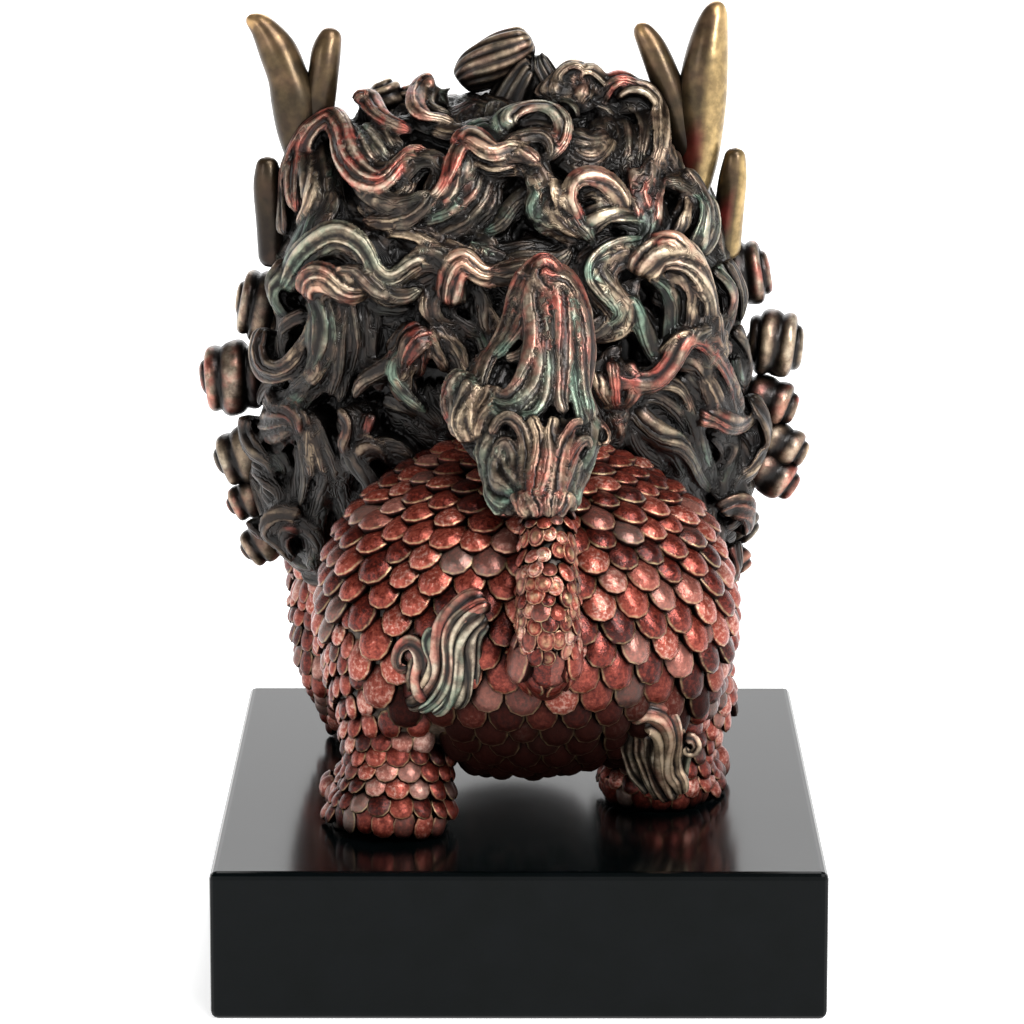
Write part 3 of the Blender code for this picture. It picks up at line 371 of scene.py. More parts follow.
# The tail's plume, drawn in the same way on a plane of its own. It leans back from the mane: for
# each height, its depth, then where its middle is and half its width.
PLUME_DRAWN_DEPTH = 55.0
PLUME_LEAN = ((98, 72, -4, 5), (104, 69.5, -4, 7), (112, 64, -3.5, 10), (122, 57.5, -0.8, 16.5),
              (130, 53, -0.8, 15.5), (138, 49, -4.5, 11.5), (146, 45, -6, 8.5), (152, 41.5, -5, 6.5),
              (157, 39, -4.5, 4))
PLUME_STRANDS = (
    # the ribs that fall from its top: to the pod at the left, round the hollow, and straight down
    ("red plain", 3.2, 2.2, (-3.4, 155.6), (-1.2, 152.6), (0.3, 148.8), (1.4, 144.6), (3.8, 140.8),
     (6.8, 137.6), (8.3, 134), (9.2, 130.5), (9.8, 128)),
    ("plain plain", 2.8, 2.4, (-3.6, 154.8), (-1.8, 150.8), (-0.6, 146.5), (0.5, 142.8), (3, 139.5),
     (5.6, 136.6), (7, 133), (7.4, 129.5), (8, 126)),
    ("red green", 2.6, 2.8, (-3.2, 153.5), (-2, 149), (-1.8, 145), (-0.6, 141.5), (1.8, 138.6),
     (4.6, 136.3)),
    ("red plain", 2.4, 3.0, (-3.8, 153.5), (-2.8, 148.5), (-3, 144), (-2.4, 139.5), (-0.6, 136.8),
     (2.2, 135.6)),
    ("red green", 3.4, 3.6, (-4.4, 153), (-3.6, 148), (-3.8, 143), (-3.2, 138), (-1.6, 133.5), (0, 129.8),
     (1.8, 127.3), (3.8, 127.6), (4.4, 130)),
    ("red green", 3.0, 3.8, (-5, 152), (-5, 147), (-5.2, 142), (-4.8, 137), (-3.8, 132), (-2, 128),
     (0.6, 125.1), (3.4, 124.6), (5.4, 126.2)),
    ("plain green", 2.8, 3.8, (-5.5, 151), (-6.4, 146), (-6.8, 141), (-6.6, 136), (-5.8, 131),
     (-4.6, 126.5), (-2.6, 123.6), (0.2, 123)),
    ("red plain", 3.2, 4.0, (-6.5, 152), (-7.8, 147), (-8.4, 142), (-8.5, 137), (-8.2, 132), (-7.6, 127.5),
     (-8.2, 123.6)),
    ("green green", 2.8, 3.6, (-7.3, 153), (-9.2, 148), (-10, 143), (-10.3, 138), (-10.3, 133),
     (-10.8, 128.3), (-12, 124.6), (-14, 121.6)),
    ("red green", 3.2, 3.4, (-6.6, 154.4), (-9.8, 149.6), (-11.7, 145), (-12.2, 140), (-12.5, 135),
     (-13.4, 130), (-14.9, 126), (-16.4, 122.5)),
    ("red plain", 3.2, 2.4, (-6.2, 155.6), (-10.4, 151.4), (-13.4, 146), (-14.7, 141), (-15.2, 136),
     (-16, 131), (-17.3, 127), (-18.8, 124)),
    ("red red", 3.0, 3.6, (-2.2, 152.6), (-3.2, 155), (-5, 156.4), (-6.8, 155), (-7.8, 152.4)),
    ("red gold", 3.0, 4.6, (-4.4, 153.6), (-6.4, 152.2), (-8.6, 151), (-10.4, 148.4)),
    ("red plain", 2.2, 4.8, (-4.8, 155), (-4.6, 152), (-5.8, 149.6), (-7.6, 148.2)),
    # the pod at the left
    ("plain plain", 8.5, 0.4, (8, 130), (12, 126.4), (9.8, 122.6), (9, 118.8)),
    ("red red", 1.6, 4.8, (12, 130.6), (14, 131.4), (16, 130), (17.1, 127.3), (17, 124.6), (16, 122.2)),
    ("green plain", 3.2, 3.2, (9.6, 132.8), (12.4, 130), (14.6, 127.2), (16.2, 124.2), (15.4, 121.2)),
    ("green gold", 3.2, 3.8, (9, 131.8), (11.2, 129), (13, 126), (14.2, 122.8), (13.6, 119.6)),
    ("plain gold", 3.2, 4.0, (8.6, 131), (10.2, 128), (11.6, 124.8), (12.4, 121.4), (11.8, 118.4)),
    ("gold gold", 2.6, 3.6, (7.8, 130.4), (9.2, 127.6), (10.2, 124.2), (10.6, 121), (10, 118.2)),
    ("plain gold", 2.8, 3.4, (4.4, 130), (5.4, 127), (7, 123.4), (8.6, 119)),
    ("gold plain", 2.4, 2.8, (3.6, 127.5), (4.4, 124.5), (5.8, 121.5), (6.4, 118.4)),
    # the palmette that fans up from the tail: its ground, then the leaves that curl outwards
    ("green plain", 6.0, 1.9, (0.5, 104), (2.8, 108), (4.6, 112.5), (5.2, 117), (4.6, 121.5)),
    ("plain plain", 6.0, 2.0, (-3.4, 103), (-2.6, 108), (-1.6, 113), (-1, 118), (-0.8, 123)),
    ("plain green", 6.0, 2.0, (-6.6, 103), (-7.4, 108), (-8.2, 113), (-8.6, 118), (-8.8, 123)),
    ("green plain", 5.0, 1.4, (-8.8, 105), (-10.8, 109), (-12.4, 113), (-13.6, 117), (-14.6, 121)),
    ("plain gold", 2.6, 4.6, (-2.6, 106), (-2.3, 111), (-1.7, 116), (-0.4, 120.6), (1.6, 123), (3.6, 122.2),
     (4.9, 119.4)),
    ("plain plain", 2.4, 4.0, (-2, 106.6), (-0.9, 111), (0.2, 115.2), (1.8, 117.6), (3.3, 116.8),
     (3.9, 114)),
    ("red gold", 2.6, 5.4, (-3.6, 105.4), (-3.8, 110), (-3.8, 115), (-3.3, 119.6), (-2.2, 123.4)),
    ("red gold", 2.6, 5.6, (-4.9, 105.2), (-5.3, 110), (-5.6, 115), (-5.6, 119.6), (-6.2, 123.2)),
    ("red gold", 2.6, 5.4, (-6, 105.4), (-6.8, 110), (-7.4, 114.6), (-8.2, 118.6), (-9.8, 121.6),
     (-12, 122)),
    ("red plain", 2.4, 4.8, (-6.8, 105.8), (-8, 110), (-9.2, 114), (-10.9, 117.4), (-13, 118.6),
     (-14.8, 116.8)),
    ("green plain", 2.0, 4.0, (-7.4, 106.2), (-9, 109.4), (-10.6, 112.4), (-12.4, 114.2)),
    ("red gold", 2.4, 4.8, (-0.6, 107), (-1.5, 104), (-2.6, 101.4)),
    ("gold red", 2.6, 5.4, (-3.2, 107.2), (-3.6, 104), (-4, 101.2)),
    ("red gold", 2.6, 5.4, (-6, 107.2), (-5.6, 104), (-5.2, 101.2)),
    ("gold red", 2.4, 4.8, (-9, 107), (-7.6, 104), (-6.4, 101.4)),
    ("red gold", 1.2, 3.0, (-18.6, 123.5), (-20.3, 122.3), (-21.1, 120), (-20.4, 118.3), (-19, 118.2)),
    # the ribbons at both sides
    ("green plain", 1.8, 2.6, (9.8, 117.4), (8.8, 112.6), (6.6, 108.4), (3.6, 104.8), (0.6, 102.4)),
    ("plain plain", 1.6, 2.6, (8.6, 117), (7.4, 112), (5.2, 107.8), (2.4, 104.4)),
    ("plain plain", 1.6, 2.8, (7.4, 116.6), (6.1, 111.6), (3.9, 107.6), (1.2, 104.6)),
    ("plain plain", 1.6, 2.8, (6.2, 116), (4.8, 111.4), (2.7, 107.9), (0.2, 105.2)),
    ("green plain", 3.0, 3.0, (-18.6, 124.2), (-17.2, 118.8), (-15.6, 114.4), (-13.1, 110.9),
     (-10.6, 107.9), (-8.6, 105.6)),
    ("plain plain", 1.8, 3.4, (-17.2, 121.4), (-16, 117), (-14.2, 113), (-11.8, 109.6), (-9.4, 106.6)),
)

# The flames of hair on the hind legs, drawn on upright planes at these depths.
THIGH_FLAME_DEPTH = 70.0
THIGH_FLAME = (
    ("red plain", 3.6, 3.0, (6.4, 87.2), (9.5, 86.4), (12.2, 84.8), (14.2, 82.8), (15.4, 79.9),
     (15.8, 77.3), (15.6, 74.3), (16.4, 71.3), (18.1, 68.7), (20.5, 66.8), (22.2, 66.8)),
    ("red green", 3.0, 3.8, (5.6, 86.2), (8.3, 85.1), (10.8, 83.4), (12.7, 81.2), (13.6, 78.6),
     (13.6, 75.6), (13.8, 72.6), (14.9, 69.6), (16.9, 67), (19.4, 65.6)),
    ("plain green", 2.8, 4.0, (6.6, 84.9), (9.4, 83), (11, 80.6), (11.7, 77.8), (11.6, 74.8), (11.9, 71.7),
     (12.7, 69.1), (14.2, 66.6), (16.6, 65.2)),
    ("plain plain", 2.8, 3.4, (6.6, 84.3), (8.6, 82.3), (9.6, 79.9), (9.9, 77.3), (9.9, 74.3), (10.2, 71.3),
     (10.9, 68.3), (12.6, 65.9)),
    ("green plain", 2.4, 2.2, (6.8, 83), (8, 81), (8.5, 78.6), (8.6, 75.2), (8.8, 72.2), (9.4, 69.6)),
    ("green gold", 2.2, 3.6, (16.3, 81.6), (17.3, 79.6), (17.1, 77.4), (16.5, 75), (17.2, 72.6),
     (18.8, 70.4), (20.4, 68.6)),
    ("red red", 2.8, 3.4, (17.6, 67.4), (19.2, 69.6), (19.6, 72.4), (18.9, 75), (19.3, 77.4), (21, 78.9),
     (22.9, 78), (23.7, 75.9), (23.2, 74), (21.8, 74.2)),
    ("gold gold", 2.0, 2.6, (20.6, 68.6), (21.4, 71), (21.2, 73.6), (20.9, 75.8), (22, 76.6)),
)
HOCK_FLAME_DEPTH = 44.0
HOCK_FLAME_LEAN = ((36, 45), (41, 47), (46, 49.5), (52, 53.5), (58, 56.5))
HOCK_FLAME = (
    ("red gold", 3.6, 3.4, (-23, 56.4), (-25.6, 57.6), (-28, 57.7), (-30.6, 56.2), (-32.1, 53.6),
     (-32.7, 50.6), (-32.4, 47), (-33, 43.9), (-34.6, 41.6), (-35.3, 39)),
    ("gold gold", 3.0, 3.6, (-26.2, 54.3), (-28, 54.9), (-29.8, 53.6), (-30.5, 51), (-30.4, 47.5),
     (-30.8, 43.9), (-32.1, 40.8), (-33.6, 37.8)),
    ("plain gold", 2.8, 3.0, (-28.3, 53), (-28.9, 50.1), (-29, 46.6), (-29.6, 43), (-30.9, 39.5),
     (-32, 37.2)),
    ("gold plain", 2.6, 2.4, (-26, 53.6), (-26.6, 50.4), (-26.8, 47.3), (-27.6, 43.9), (-28.9, 40.4),
     (-30.2, 37.6)),
    ("plain plain", 2.6, 1.4, (-23.6, 54), (-23.6, 50), (-24.2, 47), (-25.2, 43.9), (-26.6, 41.2),
     (-28.2, 39)),
    ("plain plain", 3.0, 0.6, (-25, 55), (-25, 50), (-26, 45), (-28, 41)),
    ("gold green", 2.8, 2.0, (-33, 52.4), (-34.4, 50), (-35.2, 47.4), (-35, 44), (-34, 41.4)),
    ("gold gold", 1.5, 3.2, (-35.4, 51.2), (-37.2, 51.2), (-38.2, 49.6), (-37.4, 48), (-35.9, 48.2),
     (-35.8, 49.6)),
)

# Flames of hair round the face: the way they face, their tints, flutes, then x, y, z and half width.
FACE_HAIR = {
    "beard left": ((0, -1, 0.1), "plain gold", 5, (16, -62, 106, 5), (20, -64, 98, 5.5), (17, -66, 90, 3)),
    "beard middle": ((0, -1, 0.1), "plain gold", 6, (5, -68, 105, 6), (6, -70, 95, 6), (3, -69, 86, 3)),
    "beard right": ((0, -1, 0.1), "plain gold", 5, (-6, -62, 106, 5), (-10, -64, 98, 5.5), (-7, -66, 90, 3)),
    "left brow": ((0.2, -1, 0.4), "red gold", 5, (6, -70, 149, 3.5), (13, -70, 154, 5.5), (24, -62, 155, 6),
                  (33, -52, 163, 5), (36, -48, 171, 2)),
    "right brow": ((-0.2, -1, 0.4), "red gold", 5, (3, -70, 149, 3.5), (-4, -70, 154, 5.5),
                   (-15, -62, 155, 6), (-24, -52, 163, 5), (-27, -48, 171, 2)),
    "left moustache": ((0.2, -1, 0), "gold green", 4, (12, -78, 126, 3), (21, -72, 123, 4.5),
                       (30, -64, 125, 5), (37, -56, 133, 4), (36, -54, 139, 2)),
    "right moustache": ((-0.2, -1, 0), "gold green", 4, (-3, -78, 126, 3), (-12, -72, 123, 4.5),
                        (-21, -64, 125, 5), (-28, -56, 133, 4), (-27, -54, 139, 2)),
}

# Scales: width, step from row to row, length, how far back they sit, how far the free edge stands up.
SCALE_WIDTH = 7.5
SCALE_PITCH = 4.4
SCALE_LENGTH = 9.6
SCALE_SET_BACK = 0.6
SCALE_LIFT = 3.4
LEG_SCALE_WIDTH = 5.0
LEG_SCALE_PITCH = 3.0
LEG_SCALE_LENGTH = 6.2
LEG_SCALE_LIFT = 2.3
FOOT_SCALE_LIFT = 0.9
TAIL_BEAD_PITCH = 2.7
# Under the first height the tail has plates in few columns, and over the second plates alone.
TAIL_HEIGHTS = (80.0, 101.0)
DOWN = np.array((0, 0, -1.0))
TORSO_AXIS_HEIGHT = 78.0
TORSO_RADIUS = 38.0
TORSO_ENDS = (-30.0, 31.0)
MOST_SCALES = 6000
# How near to each other the middles of scales may lie, on the torso and on the legs.
TORSO_GAP, LEG_GAP = 3.6, 2.6
# A plate's rings from its foot to its middle: reach, height and finish. A bead has a raised ring.
PLATE_PROFILE = (
    (1, -1.3, -1), (1, 0.2, -0.8), (0.95, 0.5, 1), (0.84, 0.75, 0), (0.6, 1.5, 0), (0.3, 1.95, 0),
)
BEAD_PROFILE = (
    (1, -1.8, -1), (1, 0.5, -0.8), (0.9, 1.4, 1), (0.74, 1.1, -0.5), (0.5, 1.9, 0.3), (0.25, 2.4, 0.8),
)
# Bands of rows over the back: from which angle down from the top, and columns round half a turn.
SCALE_BANDS = ((12, 4), (22, 7), (36, 12), (58, 16), (122, 12), (148, 0))

# How much red, green and gold the dry brush left on a lock.
TINTS = {"plain": (0.10, 0.14, 0.10), "red": (0.85, 0.02, 0.15), "green": (0.06, 0.85, 0.08),
         "gold": (0.22, 0.0, 0.95)}
LOCK_TINTS = ("plain plain", "plain gold", "plain plain", "green plain", "plain red")
CURL_TINTS = ("plain gold", "plain red", "gold plain", "gold red")

# Grain to which carvings are fused, and how many triangles are kept.
MANE_GRAIN, MANE_TRIANGLES = 0.45, 196000
PLUME_GRAIN, PLUME_TRIANGLES = 0.42, 60000
SKIN_GRAIN = 1.1
# How often scales and strands are tried at random.
GAP_TRIES = 3000
FILL_TRIES = 1500
DRAPED_LOCKS = 420


# ---------------------------------------------------------------- carving tools

class Carving:
    """Gathers the points, faces and finish values of one piece until it is built as a mesh."""

    def __init__(self):
        self.points, self.faces, self.finish = [], [], []
        self.count = 0

    def add(self, points, faces, ridge, tint, comb=0.5):
        """Ridge runs from 0 in a groove to 1 on a crest; tint holds shares of red, green and gold, and on
        scales shares of light red, of painted shade on the underside and of bare bronze.

        Comb counts the fine lines of hair across a lock, and is whole in each groove between them.
        """
        points = np.asarray(points, float)
        self.points.append(points)
        self.faces.extend([tuple(int(i) + self.count for i in face) for face in faces])
        ridge = np.broadcast_to(np.asarray(ridge, float), len(points))
        tint = np.broadcast_to(np.asarray(tint, float), (len(points), 3))
        comb = np.broadcast_to(np.asarray(comb, float), len(points))
        self.finish.append(np.column_stack((ridge, tint, comb)))
        self.count += len(points)

    def raw(self, name):
        """The carving as a plain object, without its finish."""
        mesh = bpy.data.meshes.new(name)
        mesh.from_pydata((np.concatenate(self.points) * MM).tolist(), [], self.faces)
        piece = bpy.data.objects.new(name, mesh)
        bpy.context.scene.collection.objects.link(piece)
        return piece

    def build(self, name, material):
        piece = self.raw(name)
        put_finish(piece.data, np.concatenate(self.finish))
        return settle(piece, material)

    def cast(self, name, material, grain, smoothing, most_triangles):
        """Fuses the carving into one skin, as a casting is, and finishes it by how its relief stands out."""
        skin = self.raw(name)
        fuse(skin, grain, smoothing)
        keep_largest_shell(skin.data)
        triangles = 2 * len(skin.data.polygons)
        if triangles > most_triangles:
            thin = skin.modifiers.new("thin", "DECIMATE")
            thin.ratio = most_triangles / triangles
            apply_modifier(skin, thin)
        points, finish = np.concatenate(self.points), np.concatenate(self.finish)
        carved = KDTree(len(points))
        for i, point in enumerate(points):
            carved.insert(point, i)
        carved.balance()
        nearest = [carved.find(vert.co / MM)[1] for vert in skin.data.vertices]
        finish = finish[nearest]
        finish[:, 0] = 0.35 * finish[:, 0] + 0.65 * relief_of(skin) * (0.35 + 0.65 * finish[:, 0])
        put_finish(skin.data, finish)
        return settle(skin, material)


def put_finish(mesh, finish):
    """Writes the values that the materials read at each point."""
    ridge = mesh.attributes.new("ridge", "FLOAT", "POINT")
    ridge.data.foreach_set("value", finish[:, 0].astype(np.float32))
    tint = mesh.attributes.new("tint", "FLOAT_VECTOR", "POINT")
    tint.data.foreach_set("vector", finish[:, 1:4].ravel().astype(np.float32))
    comb = mesh.attributes.new("comb", "FLOAT", "POINT")
    comb.data.foreach_set("value", finish[:, 4].astype(np.float32))
    mesh.shade_smooth()
    mesh.update()


def apply_modifier(obj, modifier):
    deselect_all()
    obj.select_set(True)
    bpy.context.view_layer.objects.active = obj
    bpy.ops.object.modifier_apply(modifier=modifier.name)


def deselect_all():
    for obj in bpy.context.selected_objects:
        obj.select_set(False)


def fuse(obj, grain, smoothing):
    """Turns the shells of an object into one skin of this grain in millimetres, and softens it."""
    remesh = obj.modifiers.new("fuse", "REMESH")
    remesh.mode = "VOXEL"
    remesh.voxel_size = grain * MM
    apply_modifier(obj, remesh)
    soften = obj.modifiers.new("soften", "SMOOTH")
    soften.factor = 0.5
    soften.iterations = smoothing
    apply_modifier(obj, soften)


def keep_largest_shell(mesh):
    """Deletes the crumbs and bubbles that fusing leaves."""
    count = len(mesh.vertices)
    edges = np.empty(2 * len(mesh.edges), np.int32)
    mesh.edges.foreach_get("vertices", edges)
    low, high = edges.reshape(-1, 2).T
    # Each point takes the lowest number among its neighbours, until a whole shell has the same.
    shell = np.arange(count)
    while True:
        least = np.minimum(shell[low], shell[high])
        spread = shell.copy()
        np.minimum.at(spread, low, least)
        np.minimum.at(spread, high, least)
        spread = spread[spread]
        if (spread == shell).all():
            break
        shell = spread
    names, sizes = np.unique(shell, return_counts=True)
    lost = np.flatnonzero(shell != names[np.argmax(sizes)])
    if len(lost):
        bm = bmesh.new()
        bm.from_mesh(mesh)
        bm.verts.ensure_lookup_table()
        bmesh.ops.delete(bm, geom=[bm.verts[i] for i in lost], context="VERTS")
        bm.to_mesh(mesh)
        bm.free()


def positions(mesh):
    values = np.empty(3 * len(mesh.vertices), np.float32)
    mesh.vertices.foreach_get("co", values)
    return values.reshape(-1, 3) / MM


def relief_of(obj, reach=8, full_height=0.16):
    """How far each point stands out from its smoothed surroundings: 0 in a groove, 1 on a crest."""
    normals = np.empty(3 * len(obj.data.vertices), np.float32)
    obj.data.vertices.foreach_get("normal", normals)
    sharp = positions(obj.data)
    soften = obj.modifiers.new("soften", "SMOOTH")
    soften.factor = 0.5
    soften.iterations = reach
    graph = bpy.context.evaluated_depsgraph_get()
    smooth = positions(obj.evaluated_get(graph).data)
    obj.modifiers.remove(soften)
    height = ((sharp - smooth) * normals.reshape(-1, 3)).sum(1)
    return np.clip(0.5 + 0.5 * height / full_height, 0, 1)


def settle(piece, material):
    """Gives a finished piece its material and its place on the statue."""
    piece.data.materials.clear()
    piece.data.materials.append(material)
    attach(piece, "root")
    return piece


def smooth_curve(points, count):
    """Samples a Catmull-Rom curve through the points, which may have any number of values each."""
    points = np.asarray(points, float)
    padded = np.vstack((points[:1], points, points[-1:]))
    place = np.linspace(0, len(points) - 1, count)
    span = np.minimum(place.astype(int), len(points) - 2)
    t = (place - span)[:, None]
    a, b, c, d = (padded[span + k] for k in range(4))
    return 0.5 * (2 * b + (c - a) * t + (2 * a - 5 * b + 4 * c - d) * t**2 + (3 * b - a - 3 * c + d) * t**3)


def stations_for(points, step, fewest=10):
    """How many stations a course needs so that they lie about one step apart."""
    points = np.asarray(points, float)
    length = np.linalg.norm(np.diff(points, axis=0), axis=1).sum()
    return max(fewest, round(length / step))


def unit(vectors):
    vectors = np.asarray(vectors, float)
    return vectors / np.maximum(np.linalg.norm(vectors, axis=-1, keepdims=True), 1e-9)


def ends(count, root=0.1, tip=0.1):
    """A factor for each station that rounds off both ends of a sweep."""
    t = np.linspace(0, 1, count)
    edge = np.minimum(np.clip(t / root, 0, 1), np.clip((1 - t) / tip, 0, 1))
    return np.sqrt(np.clip(1 - (1 - edge) ** 2, 0.01, 1))


def ring_faces(rows, sides):
    """Quads between closed rings of points that follow each other, and a cap at each end."""
    faces = []
    for row in range(rows - 1):
        for side in range(sides):
            low = row * sides + side
            low_next = row * sides + (side + 1) % sides
            faces.append((low, low_next, low_next + sides, low + sides))
    faces.append(tuple(range(sides - 1, -1, -1)))
    faces.append(tuple((rows - 1) * sides + side for side in range(sides)))
    return faces


def blend_tints(names, count):
    """Tint shares for each station, from the first name at the root to the second at the tip."""
    root, tip = (np.array(TINTS[name]) for name in names.split())
    share = np.linspace(0, 1, count)[:, None]
    return root + (tip - root) * share


def sweep(carving, centres, facings, half_widths, heights, depths, flutes, tints, groove=0.3, roll=0.0,
          crest_finish=1.0, drift=0.0, fineness=4, lines=0):
    """Carves a lock of hair along the centres: a half-round top with flutes, on a body that goes down.

    The flutes are rounded ridges of uneven height with sharp grooves between them, on the side that
    the facing shows. Drift lets them wander across the lock. The crest finish tells how far up its
    finish goes, from 0 for hidden hair to 1 for the most prominent; where callers lower it for hair that
    lies in shade, it carries painted shade. Lines counts the fine hairs across the lock.
    """
    rows = len(centres)
    steps = flutes * fineness
    share = np.arange(steps + 1) / steps
    wander = drift * np.sin(TURN * (np.linspace(0, 0.9, rows) + chance.random()))[:, None]
    unequal = 0.2 / flutes * np.sin(TURN * (1.3 * share * flutes / 3 + chance.random()))
    place = flutes * (share + (wander + unequal) * np.sin(math.pi * share))
    ridge = np.abs(np.sin(math.pi * place)) ** 0.7
    uneven = np.array([chance.uniform(0.0, 1.0) for _ in range(flutes + 2)])
    crest = uneven[np.clip(np.floor(place).astype(int), 0, flutes + 1)] * ridge
    radius = 1 - groove * (1 - ridge) + 0.35 * groove * crest
    bottom = np.ones((rows, 1))
    side = np.hstack((radius * np.cos(math.pi * share), -0.85 * bottom, 0.85 * bottom))
    rise = np.hstack((radius * np.sin(math.pi * share), 0 * bottom, 0 * bottom))
    drop = np.hstack((0 * radius, bottom, bottom))
    ridge = np.hstack((ridge, 0 * bottom, 0 * bottom))
    comb = np.hstack((place / flutes * (lines or flutes), bottom, bottom))
    along = unit(np.gradient(centres, axis=0))
    across = unit(np.cross(along, facings))
    out = np.cross(across, along)
    turn = np.broadcast_to(np.asarray(roll, float), rows)[:, None]
    across, out = (across * np.cos(turn) + out * np.sin(turn), out * np.cos(turn) - across * np.sin(turn))
    rings = (
        centres[:, None]
        + across[:, None] * (half_widths[:, None] * side)[..., None]
        + out[:, None] * (heights[:, None] * rise - depths[:, None] * drop)[..., None]
    )
    sides = steps + 3
    tints = np.broadcast_to(tints, (rows, 3))
    ridge = np.broadcast_to(crest_finish, rows)[:, None] * ridge
    carving.add(rings.reshape(-1, 3), ring_faces(rows, sides), ridge.ravel(), np.repeat(tints, sides, 0),
                comb.ravel())


def carve_tube(carving, stations, tints, sides=20, flutes=0, groove=0.14, twist=0.0, step=1.4, crest_finish=1.0):
    """A round limb through stations of x, y, z and radius, with flutes all round it if wanted."""
    rows = stations_for([s[:3] for s in stations], step, 16)
    samples = smooth_curve(stations, rows)
    centres, radii = samples[:, :3], samples[:, 3] * ends(rows, 0.12, 0.12)
    along = unit(np.gradient(centres, axis=0))
    side = unit(np.cross(along, (0.9, 0.1, 0.3)))
    other = np.cross(along, side)
    angles = TURN * np.arange(sides) / sides
    if flutes:
        ridge = np.abs(np.cos(0.5 * flutes * angles)) ** 0.7
        radii = radii[:, None] * (1 - groove * (1 - ridge))
        ridge = np.tile(crest_finish * ridge, rows)
    else:
        radii = radii[:, None] * np.ones(sides)
        ridge = np.repeat(np.linspace(0, crest_finish, rows), sides)
    turned = angles + twist * np.linspace(0, 1, rows)[:, None]
    rings = (
        centres[:, None]
        + side[:, None] * (radii * np.cos(turned))[..., None]
        + other[:, None] * (radii * np.sin(turned))[..., None]
    )
    tints = np.repeat(blend_tints(tints, rows), sides, 0)
    carving.add(rings.reshape(-1, 3), ring_faces(rows, sides), ridge, tints)


def carve_ball(carving, centre, radii, tint, ridge=0.5, rows=14, sides=22):
    """An egg-shaped ball, as rings from pole to pole."""
    polar = np.linspace(0.02, math.pi - 0.02, rows)[:, None]
    round_angle = TURN * np.arange(sides) / sides
    shape = np.stack(
        (np.sin(polar) * np.cos(round_angle), np.sin(polar) * np.sin(round_angle),
         -np.cos(polar) * np.ones(sides)), -1
    )
    carving.add((shape * radii + centre).reshape(-1, 3), ring_faces(rows, sides), ridge, TINTS[tint])


def carve_rolled_curl(carving, middle, axis, radius, width, tints, ribs=4, groove=0.17, crest_finish=0.75):
    """Hair rolled into a barrel: a ridge winds round it from end to end, and closes in a spiral."""
    rows, sides = 44, 28
    axis = unit(axis)
    side = unit(np.cross(axis, (0.1, 0.2, 1.0) if abs(axis[2]) < 0.8 else (0.2, 1.0, 0.1)))
    other = np.cross(axis, side)
    polar = np.linspace(0.03, math.pi - 0.03, rows)[:, None]
    around = TURN * np.arange(sides) / sides
    turns = ribs * polar / math.pi + around / TURN
    ridge = np.abs(np.sin(math.pi * turns)) ** 0.7
    swell = 1 - groove * (1 - ridge)
    reach = radius * np.sin(polar) ** 0.65 * swell
    rise = -0.5 * width * np.sign(np.cos(polar)) * np.abs(np.cos(polar)) ** 0.8 * swell
    rings = (
        middle
        + side * (reach * np.cos(around))[..., None]
        + other * (reach * np.sin(around))[..., None]
        + axis * rise[..., None]
    )
    tints = np.repeat(blend_tints(tints, rows), sides, 0)
    carving.add(rings.reshape(-1, 3), ring_faces(rows, sides), crest_finish * ridge.ravel() ** 1.5, tints)


# ---------------------------------------------------------------- the mane's shape

def mane_normal(shares):
    """Normals on the mane, at places given as shares of its radii."""
    power = MANE_SQUARENESS - 1
    return unit(np.sign(shares) * np.abs(shares) ** power / MANE_RADII)


def sight_point(x, z, depth, drawn=DRAWN_DEPTH):
    """Where the line of sight through a drawn point meets this depth."""
    sight = np.stack((x - VIEWPOINT[0], np.full_like(x, drawn - VIEWPOINT[1]), z - VIEWPOINT[2]), -1)
    reach = (VIEWPOINT[1] - depth) / (VIEWPOINT[1] - drawn)
    return VIEWPOINT + sight * reach[..., None]


def on_ball(name, x, z, lift, drawn):
    """Presses drawn points onto the back of one of the body's masses, and gives the normals."""
    middle, radii = (np.array(values, float) for values in BODY_MASSES[name])
    foot = sight_point(x, z, np.full_like(x, drawn), drawn)
    for _ in range(6):
        u, w = (foot[..., 0] - middle[0]) / radii[0], (foot[..., 2] - middle[2]) / radii[2]
        v = np.sqrt(np.clip(1 - u ** 2 - w ** 2, 0.05, 1))
        foot = sight_point(x, z, middle[1] + radii[1] * v, drawn)
    normals = unit(np.stack((u, v, w), -1) / radii)
    return foot + normals * lift, normals


def on_mane(x, z, lift):
    """Presses drawn points onto the back of the mane, raised by the lift, and gives the normals."""
    radii = MANE_RADII + np.asarray(lift, float)[..., None]
    depth = MANE_CENTRE[1] + radii[..., 1]
    for _ in range(16):
        foot = sight_point(x, z, depth)
        u = (foot[..., 0] - MANE_CENTRE[0]) / radii[..., 0]
        w = (foot[..., 2] - MANE_CENTRE[2]) / radii[..., 2]
        spread = np.abs(u) ** MANE_SQUARENESS + np.abs(w) ** MANE_SQUARENESS
        v = np.maximum(1 - spread, RIM_SHARE) ** (1 / MANE_SQUARENESS)
        depth = (depth + MANE_CENTRE[1] + radii[..., 1] * v) / 2
    normals = mane_normal(np.stack((u, v, w), -1))
    sight = unit(foot - VIEWPOINT)
    for name in MANE_FALLS:
        middle, reach = (np.array(values, float) for values in HEAD_MASSES[name])
        reach = reach + np.asarray(lift, float)[..., None]
        start, way = (VIEWPOINT - middle) / reach, sight / reach
        a, b, c = ((first * second).sum(-1) for first, second in ((way, way), (start, way), (start, start)))
        room = b * b - a * (c - 1)
        along = (-b - np.sqrt(np.maximum(room, 0))) / a
        hit = VIEWPOINT + sight * along[..., None]
        nearer = ((room > 0) & (hit[..., 1] > foot[..., 1]))[..., None]
        foot = np.where(nearer, hit, foot)
        normals = np.where(nearer, unit((hit - middle) / reach ** 2), normals)
    return foot, normals


